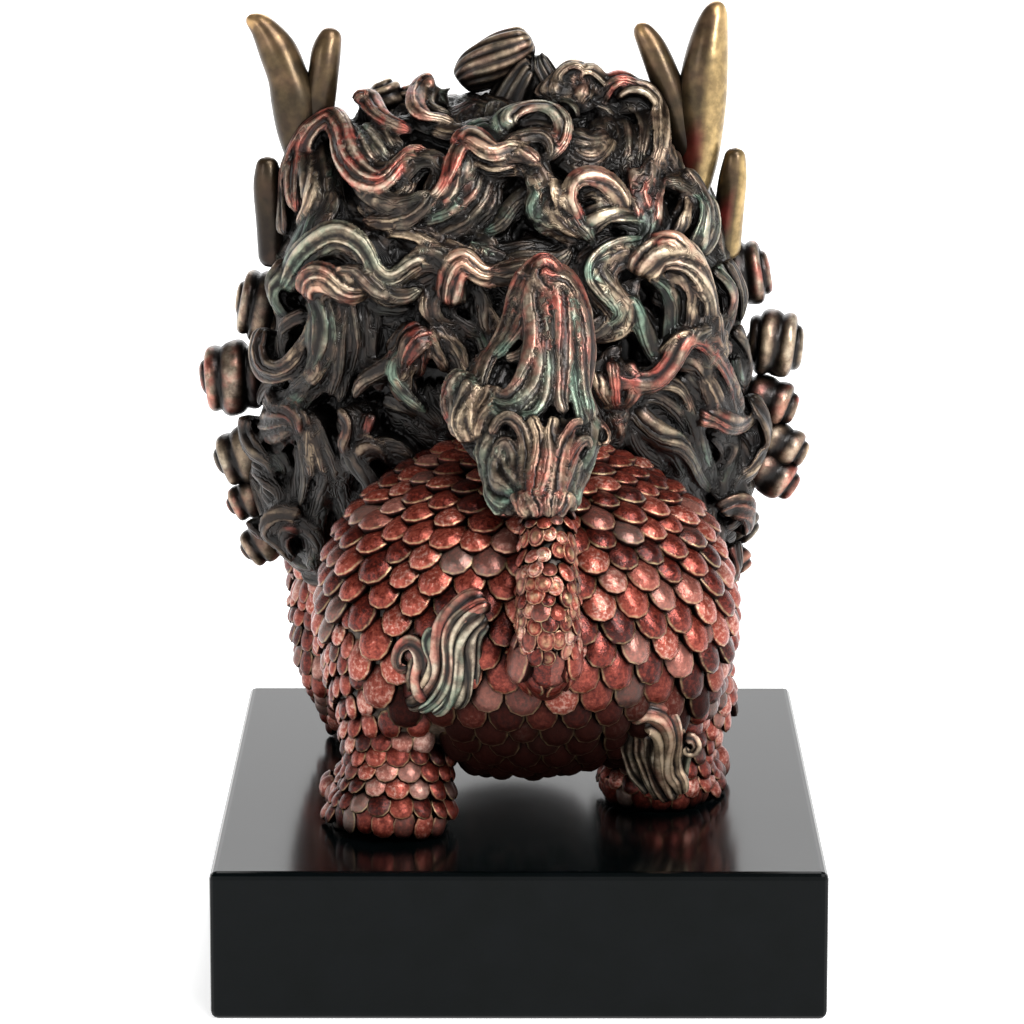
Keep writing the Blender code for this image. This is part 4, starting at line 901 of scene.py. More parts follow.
def eased(values, rounds=3):
    """Evens out sudden steps along a course."""
    for _ in range(rounds):
        values[1:-1] = (values[:-2] + 2 * values[1:-1] + values[2:]) / 4
    return values


def within_mane(place, share=0.96):
    """Whether a drawn point falls inside the outline of the mane or of the hair that falls from it."""
    foot = sight_point(np.array(place[0]), np.array(place[1]), MANE_CENTRE[1])
    shares = np.abs((foot - MANE_CENTRE) / MANE_RADII)
    inside = (shares ** MANE_SQUARENESS).sum() < share
    for name in MANE_FALLS:
        middle, radii = (np.array(values, float) for values in HEAD_MASSES[name])
        inside |= (((foot - middle) / radii)[[0, 2]] ** 2).sum() < share * share
    return inside


def mane_rim(turn, depth):
    """The point on the mane at this depth, turned from straight up towards +X, and its normal."""
    v = (depth - MANE_CENTRE[1]) / MANE_RADII[1]
    across, up = np.sin(turn), np.cos(turn)
    room = 1 - np.abs(v) ** MANE_SQUARENESS
    spread = np.abs(across) ** MANE_SQUARENESS + np.abs(up) ** MANE_SQUARENESS
    scale = (room / spread) ** (1 / MANE_SQUARENESS)
    shares = np.stack((across * scale, v * np.ones_like(scale), up * scale), -1)
    return MANE_CENTRE + shares * MANE_RADII, mane_normal(shares)


# ---------------------------------------------------------------- materials

def linear(hex_colour):
    """An sRGB hex value as the linear colour that shaders take."""
    channels = (int(hex_colour[i:i + 2], 16) / 255 for i in (1, 3, 5))
    return (*(c / 12.92 if c <= 0.04045 else ((c + 0.055) / 1.055) ** 2.4 for c in channels), 1)


def add_node(tree, kind, inputs=None, **settings):
    """Adds a node, sets its properties and its inputs. An input given as a socket is linked."""
    node = tree.nodes.new(kind)
    for name, value in settings.items():
        setattr(node, name, value)
    for key, value in (inputs or {}).items():
        if isinstance(value, bpy.types.NodeSocket):
            tree.links.new(value, node.inputs[key])
        else:
            node.inputs[key].default_value = value
    return node


def new_material(name, **shader_values):
    """A material with its tree and its shader. Underscores in the names of inputs stand for spaces."""
    material = bpy.data.materials.new(name)
    material.use_nodes = True
    shader = material.node_tree.nodes["Principled BSDF"]
    for socket, value in shader_values.items():
        shader.inputs[socket.replace("_", " ")].default_value = value
    return material, material.node_tree, shader


def ramp(tree, factor, *stops):
    """A colour ramp with stops of place and hex colour."""
    node = add_node(tree, "ShaderNodeValToRGB", {"Fac": factor})
    marks = node.color_ramp.elements
    while len(marks) < len(stops):
        marks.new(0.5)
    for mark, (place, colour) in zip(marks, stops):
        mark.position = place
        mark.color = linear(colour)
    return node.outputs["Color"]


def mix(tree, factor, first, second, blend="MIX"):
    sockets = {0: factor, 6: first, 7: second}
    return add_node(tree, "ShaderNodeMix", sockets, data_type="RGBA", blend_type=blend).outputs[2]


def noise(tree, cell_mm, detail=3.0, roughness=0.55):
    """Cloudy noise from 0 to 1, with cells of this size on the object."""
    place = add_node(tree, "ShaderNodeTexCoord").outputs["Object"]
    settings = {"Vector": place, "Scale": 1 / (cell_mm * MM), "Detail": detail, "Roughness": roughness}
    return add_node(tree, "ShaderNodeTexNoise", settings).outputs["Fac"]


def maths(tree, operation, *values):
    node = add_node(tree, "ShaderNodeMath", dict(enumerate(values)), operation=operation)
    return node.outputs[0]


def attribute(tree, name, output="Fac"):
    return add_node(tree, "ShaderNodeAttribute", attribute_name=name).outputs[output]


def openness(tree, reach_mm):
    """1 where a surface lies open, down to 0 deep in a recess."""
    return add_node(tree, "ShaderNodeAmbientOcclusion", {"Distance": reach_mm * MM}, samples=8).outputs["AO"]


def clamped(tree, value):
    return maths(tree, "MAXIMUM", maths(tree, "MINIMUM", value, 1.0), 0.0)


def patchy(tree, share, cell_mm, contrast, offset, spread, least):
    """A share that comes and goes in patches of this size.

    Contrast and offset turn the noise into patches. Least is the part of the share that stays between
    them, and spread the part that a patch adds.
    """
    patch = clamped(tree, maths(tree, "MULTIPLY_ADD", noise(tree, cell_mm, 3.0), contrast, offset))
    return maths(tree, "MULTIPLY", share, maths(tree, "MULTIPLY_ADD", patch, spread, least))


def darken_recesses(tree, shader, colour, reach_mm, *stops):
    """Gives the shader this colour, darkened where the surface lies deep, as painted shade; on some
    finishes this also stands for the patina that gathers in the hollows.
    """
    shade = ramp(tree, openness(tree, reach_mm), *stops)
    tree.links.new(mix(tree, 1.0, colour, shade, "MULTIPLY"), shader.inputs["Base Color"])


def mottled(name, cell_mm, dark, light, **shader_values):
    """Plain paint or gilding whose colour drifts a little between two tones."""
    material, tree, shader = new_material(name, **shader_values)
    tree.links.new(ramp(tree, noise(tree, cell_mm), (0.3, dark), (0.7, light)), shader.inputs["Base Color"])
    return material


def roughen(tree, shader, cell_mm, strength):
    """Shallow bumps of this size."""
    settings = {"Height": noise(tree, cell_mm), "Strength": strength, "Distance": 0.2 * MM}
    tree.links.new(add_node(tree, "ShaderNodeBump", settings).outputs[0], shader.inputs["Normal"])


def patinated_hair():
    """Cold-cast bronze hair: near-black patina in the grooves, dry-brushed bronze on the crests. Deep
    in the recesses the crests darken, partly for the patina there and partly as painted shade.
    """
    material, tree, shader = new_material("patinated_cold_cast_bronze_hair", Metallic=0.6, Roughness=0.33)
    wave = maths(tree, "SINE", maths(tree, "MULTIPLY", attribute(tree, "comb"), math.pi))
    line = maths(tree, "POWER", maths(tree, "ABSOLUTE", wave), 0.8)
    shares = add_node(tree, "ShaderNodeSeparateXYZ", {0: attribute(tree, "tint", "Vector")})
    # Deep recesses darken the crests: partly the patina that gathers there, partly painted shade.
    open_sky = openness(tree, 9.0)
    ridge = maths(tree, "MULTIPLY", attribute(tree, "ridge"), maths(tree, "MULTIPLY_ADD", line, 0.4, 0.6))
    crest_finish = maths(tree, "MULTIPLY_ADD", noise(tree, 2.6, 5.0, 0.65), 1.5, -0.75)
    lit = maths(tree, "MULTIPLY", ridge, maths(tree, "POWER", open_sky, 1.5))
    crest = maths(tree, "ADD", lit, maths(tree, "MULTIPLY", crest_finish, lit))
    bronze = ramp(tree, crest, (0.04, "#060403"), (0.23, "#140f0b"), (0.43, "#2f2720"), (0.65, "#62574a"),
                  (0.95, "#c0b29d"))
    for share, cell, dark, light in (
        ("X", 4.0, "#2b0b09", "#b5463b"), ("Y", 5.0, "#0e1a14", "#6d8f7d"), ("Z", 6.0, "#2e2118", "#cdb595"),
    ):
        colour = ramp(tree, crest, (0.04, "#060404"), (0.25, dark), (0.75, light))
        bronze = mix(tree, patchy(tree, shares.outputs[share], cell, 5.0, -2.1, 0.8, 0.1), bronze, colour)
    tree.links.new(bronze, shader.inputs["Base Color"])
    height = maths(tree, "MULTIPLY_ADD", noise(tree, 0.5), 0.4, line)
    bump = add_node(tree, "ShaderNodeBump", {"Height": height, "Strength": 0.55, "Distance": 0.25 * MM})
    tree.links.new(bump.outputs[0], shader.inputs["Normal"])
    return material


def copper_red_scales():
    """Metallic copper-red paint on cast scales, with bronze along the rubbed edge. The walls are painted
    near-black for their patina and as the shadow under each free edge, the underside is darkened as
    painted shade, and so are the deep places.
    """
    material, tree, shader = new_material("copper_red_metallic_scales", Metallic=0.65, Roughness=0.32)
    ridge = attribute(tree, "ridge")
    shares = add_node(tree, "ShaderNodeSeparateXYZ", {0: attribute(tree, "tint", "Vector")})
    speckle = maths(tree, "MULTIPLY", noise(tree, 0.9, 5.0, 0.65), 0.8)
    mottle = maths(tree, "ADD", speckle, shares.outputs["X"])
    red = ramp(tree, mottle, (0.28, "#300f0b"), (0.45, "#66251b"), (0.62, "#924435"), (0.88, "#e0bcac"))
    red = mix(tree, maths(tree, "MULTIPLY", shares.outputs["Z"], 0.7), red, linear("#a8968a"))
    # Painted shade: the walls under the free edges are darkened for the shadow there as well as the patina,
    # and the second tint share darkens the underside as painted shade. The same mask dims the rubbed edges
    # and dulls the sheen there, by more roughness and less specular.
    wall = maths(tree, "MAXIMUM", maths(tree, "MULTIPLY", ridge, -1.0), 0.0)
    wash_and_shade = maths(tree, "MINIMUM", maths(tree, "ADD", wall, shares.outputs["Y"]), 1.0)
    red = mix(tree, wash_and_shade, red, linear("#170705"))
    edge = maths(tree, "MULTIPLY", ridge, maths(tree, "MULTIPLY_ADD", noise(tree, 1.8, 2.0), 2.4, -0.75))
    edge = maths(tree, "MULTIPLY", edge, maths(tree, "MULTIPLY_ADD", wash_and_shade, -0.75, 1.0))
    colour = mix(tree, clamped(tree, edge), red, linear("#a8966f"))
    tree.links.new(maths(tree, "MULTIPLY_ADD", wash_and_shade, 0.35, 0.27), shader.inputs["Roughness"])
    tree.links.new(maths(tree, "MULTIPLY_ADD", wash_and_shade, -0.45, 0.5), shader.inputs["Specular IOR Level"])
    # Painted shade: darker where the surface lies deep, as under the free edge of each scale.
    darken_recesses(tree, shader, colour, 4.0, (0.3, "#0b0805"), (0.9, "#ffffff"))
    roughen(tree, shader, 0.45, 0.5)
    return material


def washed_skin():
    """The casting between the scales: a dull olive-brown patina, darker in the corners, partly for
    the patina that gathers there and partly as painted shade.
    """
    material, tree, shader = new_material("dark_washed_casting", Metallic=0.4, Roughness=0.5)
    colour = ramp(tree, noise(tree, 2.0), (0.3, "#221a15"), (0.5, "#45392f"), (0.7, "#695e50"))
    # Darker in the corners: partly the patina there, partly painted shade.
    darken_recesses(tree, shader, colour, 2.5, (0.25, "#080605"), (0.85, "#ffffff"))
    roughen(tree, shader, 0.8, 0.4)
    return material


def burnished_horn():
    """Horns and ears: dark bronze at the root, rubbed to bright gold at the tip."""
    material, tree, shader = new_material("burnished_bronze_horn", Metallic=0.7, Roughness=0.32)
    along = maths(tree, "POWER", attribute(tree, "ridge"), 1.9)
    shares = add_node(tree, "ShaderNodeSeparateXYZ", {0: attribute(tree, "tint", "Vector")})
    rub = maths(tree, "ADD", along, maths(tree, "MULTIPLY_ADD", noise(tree, 5.0, 2.0), 1.5, -0.78))
    colour = ramp(tree, rub, (0.05, "#120a07"), (0.45, "#2f2018"), (0.8, "#553f31"), (1.0, "#b08c60"))
    # X brings the patches of red; on the right antler the patch is a painted red reflection. Z brings the
    # gold.
    for share, cell, tone in (("X", 5.0, "#7e2c27"), ("Z", 3.0, "#d6b67c")):
        amount = patchy(tree, shares.outputs[share], cell, 4.0, -1.6, 0.5, 0.4)
        colour = mix(tree, amount, colour, linear(tone))
    # Painted shade: darker where the surface lies deep, as in the forks of the antlers.
    darken_recesses(tree, shader, colour, 5.0, (0.2, "#1a1412"), (0.7, "#ffffff"))
    roughen(tree, shader, 1.2, 0.2)
    return material


def bronze_face():
    """The smooth skin of the face: dark patinated bronze, rubbed brighter where it stands out and
    open, and darkened deep in the recesses as painted shade.
    """
    material, tree, shader = new_material("patinated_bronze_face", Metallic=0.6, Roughness=0.38)
    open_sky = openness(tree, 8.0)
    # Darkened deep in the recesses as painted shade, brighter where the surface lies open.
    rub = maths(tree, "ADD", open_sky, maths(tree, "MULTIPLY_ADD", noise(tree, 4.0), 0.6, -0.3))
    colour = ramp(tree, rub, (0.35, "#0d0a08"), (0.7, "#3a2a20"), (1.0, "#8a5a48"))
    tree.links.new(colour, shader.inputs["Base Color"])
    roughen(tree, shader, 0.8, 0.3)
    return material


def black_lacquer():
    """Black lacquer on the plinth: nearly black, and it mirrors softly at a low angle."""
    material, tree, shader = new_material("black_gloss_lacquer", Roughness=0.15, IOR=1.18)
    colour = ramp(tree, noise(tree, 9.0), (0.3, "#010303"), (0.7, "#030506"))
    tree.links.new(colour, shader.inputs["Base Color"])
    haze = maths(tree, "MULTIPLY_ADD", noise(tree, 22.0), 0.05, 0.12)
    tree.links.new(haze, shader.inputs["Roughness"])
    return material


# ---------------------------------------------------------------- the body and its scales

def fused(name, masses, limbs, grain, smoothing):
    """Joins balls and round limbs, and fuses them into one smooth skin."""
    forms = Carving()
    for centre, radii in masses:
        carve_ball(forms, np.array(centre, float), np.array(radii, float), "plain", rows=26, sides=44)
    for stations in limbs:
        carve_tube(forms, stations, "plain plain")
    skin = forms.raw(name)
    fuse(skin, grain, smoothing)
    skin.data.shade_smooth()
    return skin


def tree_of(obj):
    """A tree for casting rays onto a mesh, in millimetres."""
    points = [v.co / MM for v in obj.data.vertices]
    return BVHTree.FromPolygons(points, [tuple(p.vertices) for p in obj.data.polygons])


def plate_template(root_width, profile, squareness=0.8):
    """One plate lying flat, as closed rings: x across from -1 to 1, y from its root at 0 to 1.

    Its dome stands towards the free edge. Each row is x, y, height and its finish: -1 on the wall,
    which is painted dark for its patina and as the shadow under the free edge, 1 on the bright edge,
    0 on the dome.
    """
    count = 12
    angles = TURN * np.arange(count) / count
    x, y = np.sign(np.sin(angles)) * np.abs(np.sin(angles)) ** squareness, 0.5 - 0.5 * np.cos(angles)
    x = x * np.where(y < 0.45, root_width + (1 - root_width) * y / 0.45, 1)
    rows = []
    for reach, height, rim in profile:
        middle = 0.5 + 0.12 * (1 - reach)
        level, finish = np.full(count, height), np.full(count, rim)
        rows.append(np.column_stack((x * reach, middle + (y - 0.5) * reach, level, finish)))
    return np.concatenate(rows), ring_faces(len(rows), count)


def place_plate(carving, template, point, normal, down, width, length, lift, shade, set_back=0.0):
    """Lays one plate on the skin at a point, its free edge downwards and lifted."""
    rows, faces = template
    down = unit(down - normal * np.dot(down, normal))
    across = np.cross(down, normal)
    height = 0.125 * width * rows[:, 2] + lift * (rows[:, 1] - 0.3)
    points = (
        point
        + across * (0.5 * width * rows[:, 0])[:, None]
        + down * (length * (rows[:, 1] - 0.5) - set_back)[:, None]
        + normal * height[:, None]
    )
    points[:, 2] = np.maximum(points[:, 2], SOLE_HEIGHT)
    carving.add(points, faces, rows[:, 3], shade)


def random_shade(normal, height, shaded, gold=0.4, spread=1.0):
    """Shares of light red, of the painted shade that darkens the underside and the low flanks, and of bare
    bronze.
    """
    under = shaded * (max(0.0, -0.8 * normal[2]) + max(0.0, (70 - height) / 14))
    light = spread * chance.uniform(-0.1, 0.25)
    return (light, min(under, 0.97), gold * chance.random() if chance.random() < 0.25 else 0.0)


def inside_mane(point, share=0.97):
    """Whether a point lies within the mane, which covers the skin there."""
    shares = np.abs((point - MANE_CENTRE) / (MANE_RADII * share))
    return (shares ** MANE_SQUARENESS).sum() < 1


def direction(turn, polar):
    """A unit vector turned from +X towards +Y, and tipped down from straight up."""
    return np.array((math.cos(turn) * math.sin(polar), math.sin(turn) * math.sin(polar), math.cos(polar)))


class ScaleCoat:
    """Scales laid on a skin, each kept clear of those that are there already."""

    def __init__(self, skin):
        self.skin = tree_of(skin)
        self.carving = Carving()
        self.places, self.taken = np.empty((MOST_SCALES, 3)), 0
        self.template = plate_template(0.88, PLATE_PROFILE)

    def take(self, *points):
        """Notes that the skin is covered at these points."""
        self.places[self.taken:self.taken + len(points)] = points
        self.taken += len(points)

    def crowded(self, point, gap):
        """Whether a covered point lies nearer than the gap."""
        return (((self.places[:self.taken] - point) ** 2).sum(1) < gap * gap).any()

    def lay(self, origin, way, down, width, length, lift, gap, farthest=200.0, shaded=0.12):
        """Lays a scale where a ray from inside meets the skin, if that place is bare and shows."""
        hit, normal, _, distance = self.skin.ray_cast(Vector(origin), Vector(way))
        if hit is None or distance > farthest:
            return
        point, normal = np.array(hit), np.array(normal)
        if np.dot(normal, way) < 0:
            normal = -normal
        if inside_mane(point) or point[2] < SOLE_HEIGHT + 2 or self.crowded(point, gap):
            return
        self.take(point)
        size = chance.uniform(0.92, 1.08)
        down = down + np.cross(normal, down) * chance.uniform(-0.14, 0.14)
        lift *= chance.uniform(0.8, 1.2)
        # Scales narrower than the torso's own vary a little more in tone.
        gold, spread = (0.4, 1.0) if width == SCALE_WIDTH else (0.5, 1.15)
        place_plate(self.carving, self.template, point, normal, down, 1.06 * width * size, length * size,
                    lift, random_shade(normal, point[2], shaded, gold, spread), SCALE_SET_BACK)

    def cover_leg(self, stations, lift):
        """Small scales in rings down a leg or a paw."""
        rows = stations_for([s[:3] for s in stations], LEG_SCALE_PITCH, 4)
        samples = smooth_curve(stations, rows)
        along = unit(np.gradient(samples[:, :3], axis=0))
        for row, (sample, down) in enumerate(zip(samples, along)):
            side = unit(np.cross(down, (0.2, 0.3, 1.0) if abs(down[2]) < 0.7 else (0.1, 1.0, 0.1)))
            other = np.cross(down, side)
            count = round(TURN * sample[3] / LEG_SCALE_WIDTH * 1.15)
            for column in range(count):
                angle = TURN * (column + 0.5 * (row % 2)) / count
                way = side * math.cos(angle) + other * math.sin(angle)
                self.lay(sample[:3], way, down, LEG_SCALE_WIDTH, LEG_SCALE_LENGTH, lift, LEG_GAP,
                         1.4 * sample[3])

    def cover_torso(self):
        """Staggered rows of scales from the back down the flanks, and round both ends of the torso."""
        half_turn_columns = dict(SCALE_BANDS)
        starts = [start for start, _ in SCALE_BANDS]
        angle, row = float(starts[0]), 0
        while angle < starts[-1]:
            band = max(start for start in starts if start <= angle)
            columns = half_turn_columns[band]
            polar = math.radians(angle)
            stagger = 0.5 * (row % 2)
            for end, sign in ((TORSO_ENDS[1], 1), (TORSO_ENDS[0], -1)):
                for column in range(-1, columns + 1):
                    turn = math.pi * (column + 0.5 + stagger) / columns - math.pi / (2 * columns)
                    if 0 <= turn <= math.pi:
                        way = direction(sign * turn, polar)
                        self.lay_torso(np.array((-1, end, TORSO_AXIS_HEIGHT)), way)
            place = TORSO_ENDS[0] + SCALE_WIDTH * (0.5 + stagger)
            while place < TORSO_ENDS[1]:
                for sign in (-1, 1):
                    way = np.array((sign * math.sin(polar), 0, math.cos(polar)))
                    self.lay_torso(np.array((-1, place, TORSO_AXIS_HEIGHT)), way)
                place += SCALE_WIDTH
            angle += math.degrees(SCALE_PITCH / TORSO_RADIUS)
            row += 1

    def lay_torso(self, origin, way):
        self.lay(origin, way, DOWN, SCALE_WIDTH, SCALE_LENGTH, SCALE_LIFT, TORSO_GAP, shaded=1.0)

    def cover_gaps(self, tries):
        """Lays scales where the rows have left the skin bare."""
        haunches = [middle for name, (middle, _) in BODY_MASSES.items() if "left" in name or "right" in name]
        for _ in range(tries):
            way = direction(chance.uniform(0, TURN), math.radians(chance.uniform(30, 150)))
            origin = np.array((-1, chance.uniform(*TORSO_ENDS), TORSO_AXIS_HEIGHT))
            self.lay(origin, way, DOWN, 0.85 * SCALE_WIDTH, 0.8 * SCALE_LENGTH, SCALE_LIFT, 4.3, shaded=1.0)
            middle = np.array(chance.choice(haunches), float)
            self.lay(middle, way, DOWN, 1.1 * LEG_SCALE_WIDTH, LEG_SCALE_LENGTH, 1.6, 4.1)

    def cover_belly(self):
        """Broad plates across the belly and up the chest, laid before the scales round them."""
        stops = [((-1, y, 74), 270.0) for y in range(26, -34, -6)]
        stops += [((1, -30, 78), 270.0 - tilt) for tilt in range(10, 92, 9)]
        for origin, tilt in stops:
            centres, normals = [], []
            for swing in np.radians(np.linspace(-30, 30, 9)):
                rise = math.radians(tilt)
                flat = math.cos(swing)
                way = np.array((math.sin(swing), math.cos(rise) * flat, math.sin(rise) * flat))
                hit, normal, _, _ = self.skin.ray_cast(Vector(origin), Vector(way))
                centres.append(np.array(hit))
                normals.append(np.array(normal) * math.copysign(1, np.dot(normal, way)))
            self.take(*centres)
            shape = ends(9, 0.2, 0.2)
            # The plates' second tint share darkens them as painted shade on the underside.
            sweep(self.carving, np.array(centres), np.array(normals), 3.6 * shape, 1.6 * shape,
                  1.2 * shape, 1, (0.05, 0.6, 0.2), crest_finish=0.3)

    def bead_tail(self):
        """Plates under the tail and at its top, and mostly small rimmed beads between them."""
        rows = stations_for([s[:3] for s in TAIL], TAIL_BEAD_PITCH, 8)
        samples = smooth_curve(TAIL, rows)
        along = unit(np.gradient(samples[:, :3], axis=0))
        bead = plate_template(1.0, BEAD_PROFILE, 1.0)
        for row in range(1, rows):
            side = unit(np.cross(along[row], (1.0, 0.1, 0.0)))
            other = np.cross(along[row], side)
            place, (height, radius) = samples[row][:3], samples[row][2:]
            low, high = height < TAIL_HEIGHTS[0], height > TAIL_HEIGHTS[1]
            count, sinking = (8, 2.6) if low else (12, 1.5)
            for column in range(count):
                angle = TURN * (column + 0.5 * (row % 2) + chance.uniform(-0.2, 0.2)) / count
                normal = side * math.cos(angle) + other * math.sin(angle)
                point = place + normal * (radius - sinking) + along[row] * chance.uniform(-0.6, 0.6)
                width = TURN * radius / count * (1.2 if low else chance.uniform(0.9, 1.3))
                light, under, bare = random_shade(normal, 90, 0.0, 0.5)
                plate = low or high or chance.random() < 0.3
                down = np.array((0, 0.35, -1)) + 0.3 * side * chance.uniform(-1, 1)
                length = width * (1.5 if low else chance.uniform(0.95, 1.3))
                shade = (light + (0 if plate else 0.06), under + 0.1 * chance.random(), 0.5 * bare)
                place_plate(self.carving, self.template if plate else bead, point, normal, down, width,
                            length, 1.8 if plate else 0.6, shade)


def toe_places():
    """Where each toe stands on its sole, three to a paw."""
    return [np.array((x + step * TOE_GAP, y + 2 * abs(step), SOLE_HEIGHT)) for x, y in PAWS
            for step in (-1, 0, 1)]


def make_body():
    """The skin with its toes, and the scales, plates and beads on it."""
    slim_tail = [(x, y, z, radius - 1.9) for x, y, z, radius in TAIL]
    limbs = [*LEGS.values(), slim_tail]
    toes = [(toe + (0, 0, 3), TOE_RADII) for toe in toe_places()]
    skin = fused("body_skin", [*BODY_MASSES.values(), *toes], limbs, SKIN_GRAIN, 4)
    for vert in skin.data.vertices:
        vert.co.z = max(vert.co.z, SOLE_HEIGHT * MM)
    coat = ScaleCoat(skin)
    coat.cover_belly()
    for name, stations in LEGS.items():
        coat.cover_leg(stations, LEG_SCALE_LIFT if "leg" in name else FOOT_SCALE_LIFT)
    coat.cover_torso()
    coat.cover_gaps(GAP_TRIES)
    coat.bead_tail()
    coat.carving.build("body_scales", copper_red_scales())
    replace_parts(settle(skin, washed_skin()), "qilin")


def make_claws():
    """A hooked claw on each toe."""
    claws = Carving()
    for toe in toe_places():
        reach = (toe + (0, -5, 5.0), toe + (0, -8, 4.0), toe + (0, -9.5, 1.6))
        carve_tube(claws, [(*p, r) for p, r in zip(reach, (1.8, 1.6, 0.6))], "plain gold", 10, step=1)
    claws.build("claws", burnished_horn())


# ---------------------------------------------------------------- the mane

class Mane:
    """The mane's locks in one carving, with the courses that later strands follow."""

    def __init__(self):
        self.waves, self.courses, self.ways, self.lifts = Carving(), [], [], []
        self.skin = None

    def carve_wave(self, tints, width, lift, *course):
        """Carves one drawn wave and notes its course."""
        rows = stations_for(course, 0.8)
        path = smooth_curve(course, rows)
        t = np.linspace(0, 1, rows)
        rise = lift * (0.6 + 0.4 * np.sin(math.pi * (0.08 + 0.84 * t)))
        centres, normals = on_mane(path[:, 0], path[:, 1], rise - 0.4 * width)
        centres, normals = eased(centres), unit(eased(normals))
        # The crest finish grows with the lift, where the dry brush reaches the raised hair; it is cut as
        # painted shade on the low hair and on the left side.
        crest_finish = (0.3 + 0.075 * rise) * np.interp(centres[:, 2], LOW_HAIR_SHADE_HEIGHTS, (0.5, 1))
        left_shade_factor = np.interp(centres[:, 0], LEFT_SHADE_WIDTHS, (1, LEFT_SHADE_SHARE))
        crest_finish *= left_shade_factor + (1.1 - left_shade_factor) * np.interp(centres[:, 2], CROWN_HEIGHTS, (0, 1))
        body = (1.12 - 0.62 * t) * ends(rows, 0.12, 0.16)
        body *= 1 + 0.08 * np.sin(TURN * (2 * t + chance.random()))
        flutes = max(2, round(width / chance.uniform(1.05, 1.5)))
        roll = chance.uniform(-0.25, 0.25) + 0.25 * np.sin(TURN * (0.8 * t + chance.random()))
        sweep(self.waves, centres, normals, 0.86 * width * body, 0.55 * width * body,
              (rise + 3.0) * np.minimum(body + 0.3, 1), flutes, blend_tints(tints, rows),
              groove=chance.uniform(0.26, 0.4), roll=roll, crest_finish=crest_finish, drift=0.14, fineness=8,
              lines=round(width / 0.62))
        self.courses.extend(path)
        self.ways.extend(unit(np.gradient(path, axis=0)))
        self.lifts.extend(rise)

    def fill(self, count):
        """Adds strands between the waves, each following the wave that lies nearest and a little lower."""
        drawn = KDTree(len(self.courses))
        for i, (x, z) in enumerate(self.courses):
            drawn.insert((x, z, 0), i)
        drawn.balance()
        for _ in range(count):
            x, z = (chance.uniform(*reach) for reach in MANE_SPAN)
            _, nearest, gap = drawn.find((x, z, 0))
            if gap < 0.7 or not within_mane((x, z)):
                continue
            way = self.ways[nearest]
            lift = max(0.6, self.lifts[nearest] - 1.0 - 0.9 * gap) + chance.uniform(-0.5, 0.5)
            path = [np.array((x, z))]
            for _ in range(chance.randint(8, 16)):
                _, nearest, _ = drawn.find((*path[-1], 0))
                way = unit(way * 0.6 + self.ways[nearest] * 0.4 * math.copysign(1, way @ self.ways[nearest]))
                path.append(path[-1] + way * 1.2)
            path = np.array([place for place in path if within_mane(place)])
            if len(path) < 6:
                continue
            centres, normals = on_mane(path[:, 0], path[:, 1], np.full(len(path), lift))
            centres, normals = eased(centres), unit(eased(normals))
            body = ends(len(path), 0.35, 0.35) * chance.uniform(0.8, 1.5)
            # The strands low on the mane get less crest finish, as painted shade.
            sweep(self.waves, centres, normals, 1.9 * body, 1.0 * body, body * 0 + lift + 2.5, 3,
                  TINTS[chance.choice(("plain", "plain", "plain", "green", "gold"))],
                  crest_finish=(0.25 + 0.05 * lift) * np.interp(z, LOW_HAIR_SHADE_HEIGHTS, (0.4, 1)),
                  groove=0.25, drift=0.1, fineness=6, lines=5)

    def carve_core(self, share=0.96):
        """The dark mass that all the waves stand on."""
        core = self.waves
        carve_ball(core, np.zeros(3), np.ones(3), "plain", 0.0, rows=90, sides=140)
        shape = core.points[-1]
        spread = (np.abs(shape) ** MANE_SQUARENESS).sum(1, keepdims=True) ** (1 / MANE_SQUARENESS)
        core.points[-1] = MANE_CENTRE + shape / spread * MANE_RADII * share
        for name in MANE_FALLS:
            centre, radii = HEAD_MASSES[name]
            carve_ball(core, np.array(centre, float), np.array(radii, float) * share, "plain", 0.0, 44, 66)
        self.skin = BVHTree.FromPolygons(np.concatenate(core.points).tolist(), core.faces)

    def drape(self, count):
        """Locks on the flanks of the mane and of the hair that falls from it: they wind down and back."""
        for _ in range(count):
            way = unit([chance.gauss(0, 1), chance.gauss(0, 0.5), chance.gauss(0, 1)])
            place = np.array((MANE_CENTRE[0], chance.uniform(-50, 8), chance.uniform(80, 170))) + 70 * way
            phase, bend = chance.uniform(0, TURN), chance.choice((-1, 1)) * chance.uniform(0.5, 1.1)
            centres, normals = [], []
            for step in range(chance.randint(10, 18)):
                hit, normal, _, _ = self.skin.find_nearest(Vector(place))
                normal = np.array(normal)
                falls = hit[2] < FALL_TOP and abs(hit[0] - MANE_CENTRE[0]) > FALL_ASIDE
                if normal[1] > (0.95 if falls else 0.5) or hit[1] < DRAPE_FRONT or hit[2] < DRAPE_FOOT:
                    break
                centres.append(np.array(hit))
                normals.append(normal)
                down = np.array((0, 0.5, -1)) - normal * np.dot((0, 0.5, -1), normal)
                turn = bend * math.sin(0.55 * step + phase)
                heading = unit(down) * math.cos(turn) + unit(np.cross(normal, down)) * math.sin(turn)
                place = centres[-1] + 1.5 * heading
            rows = len(centres)
            if rows < 7:
                continue
            rise = chance.uniform(0.2, 1.8)
            width = chance.uniform(4.0, 6.5)
            normals = unit(eased(np.array(normals)))
            centres = eased(np.array(centres)) + normals * (rise - 0.3 * width)
            body = (1.1 - 0.6 * np.linspace(0, 1, rows)) * ends(rows, 0.15, 0.2)
            tint = chance.choice(LOCK_TINTS)
            sweep(self.waves, centres, normals, 0.6 * width * body, 0.5 * width * body,
                  rise + 1.5 + 0 * body, 4, blend_tints(tint, rows), crest_finish=0.4, drift=0.12, fineness=6,
                  lines=8)

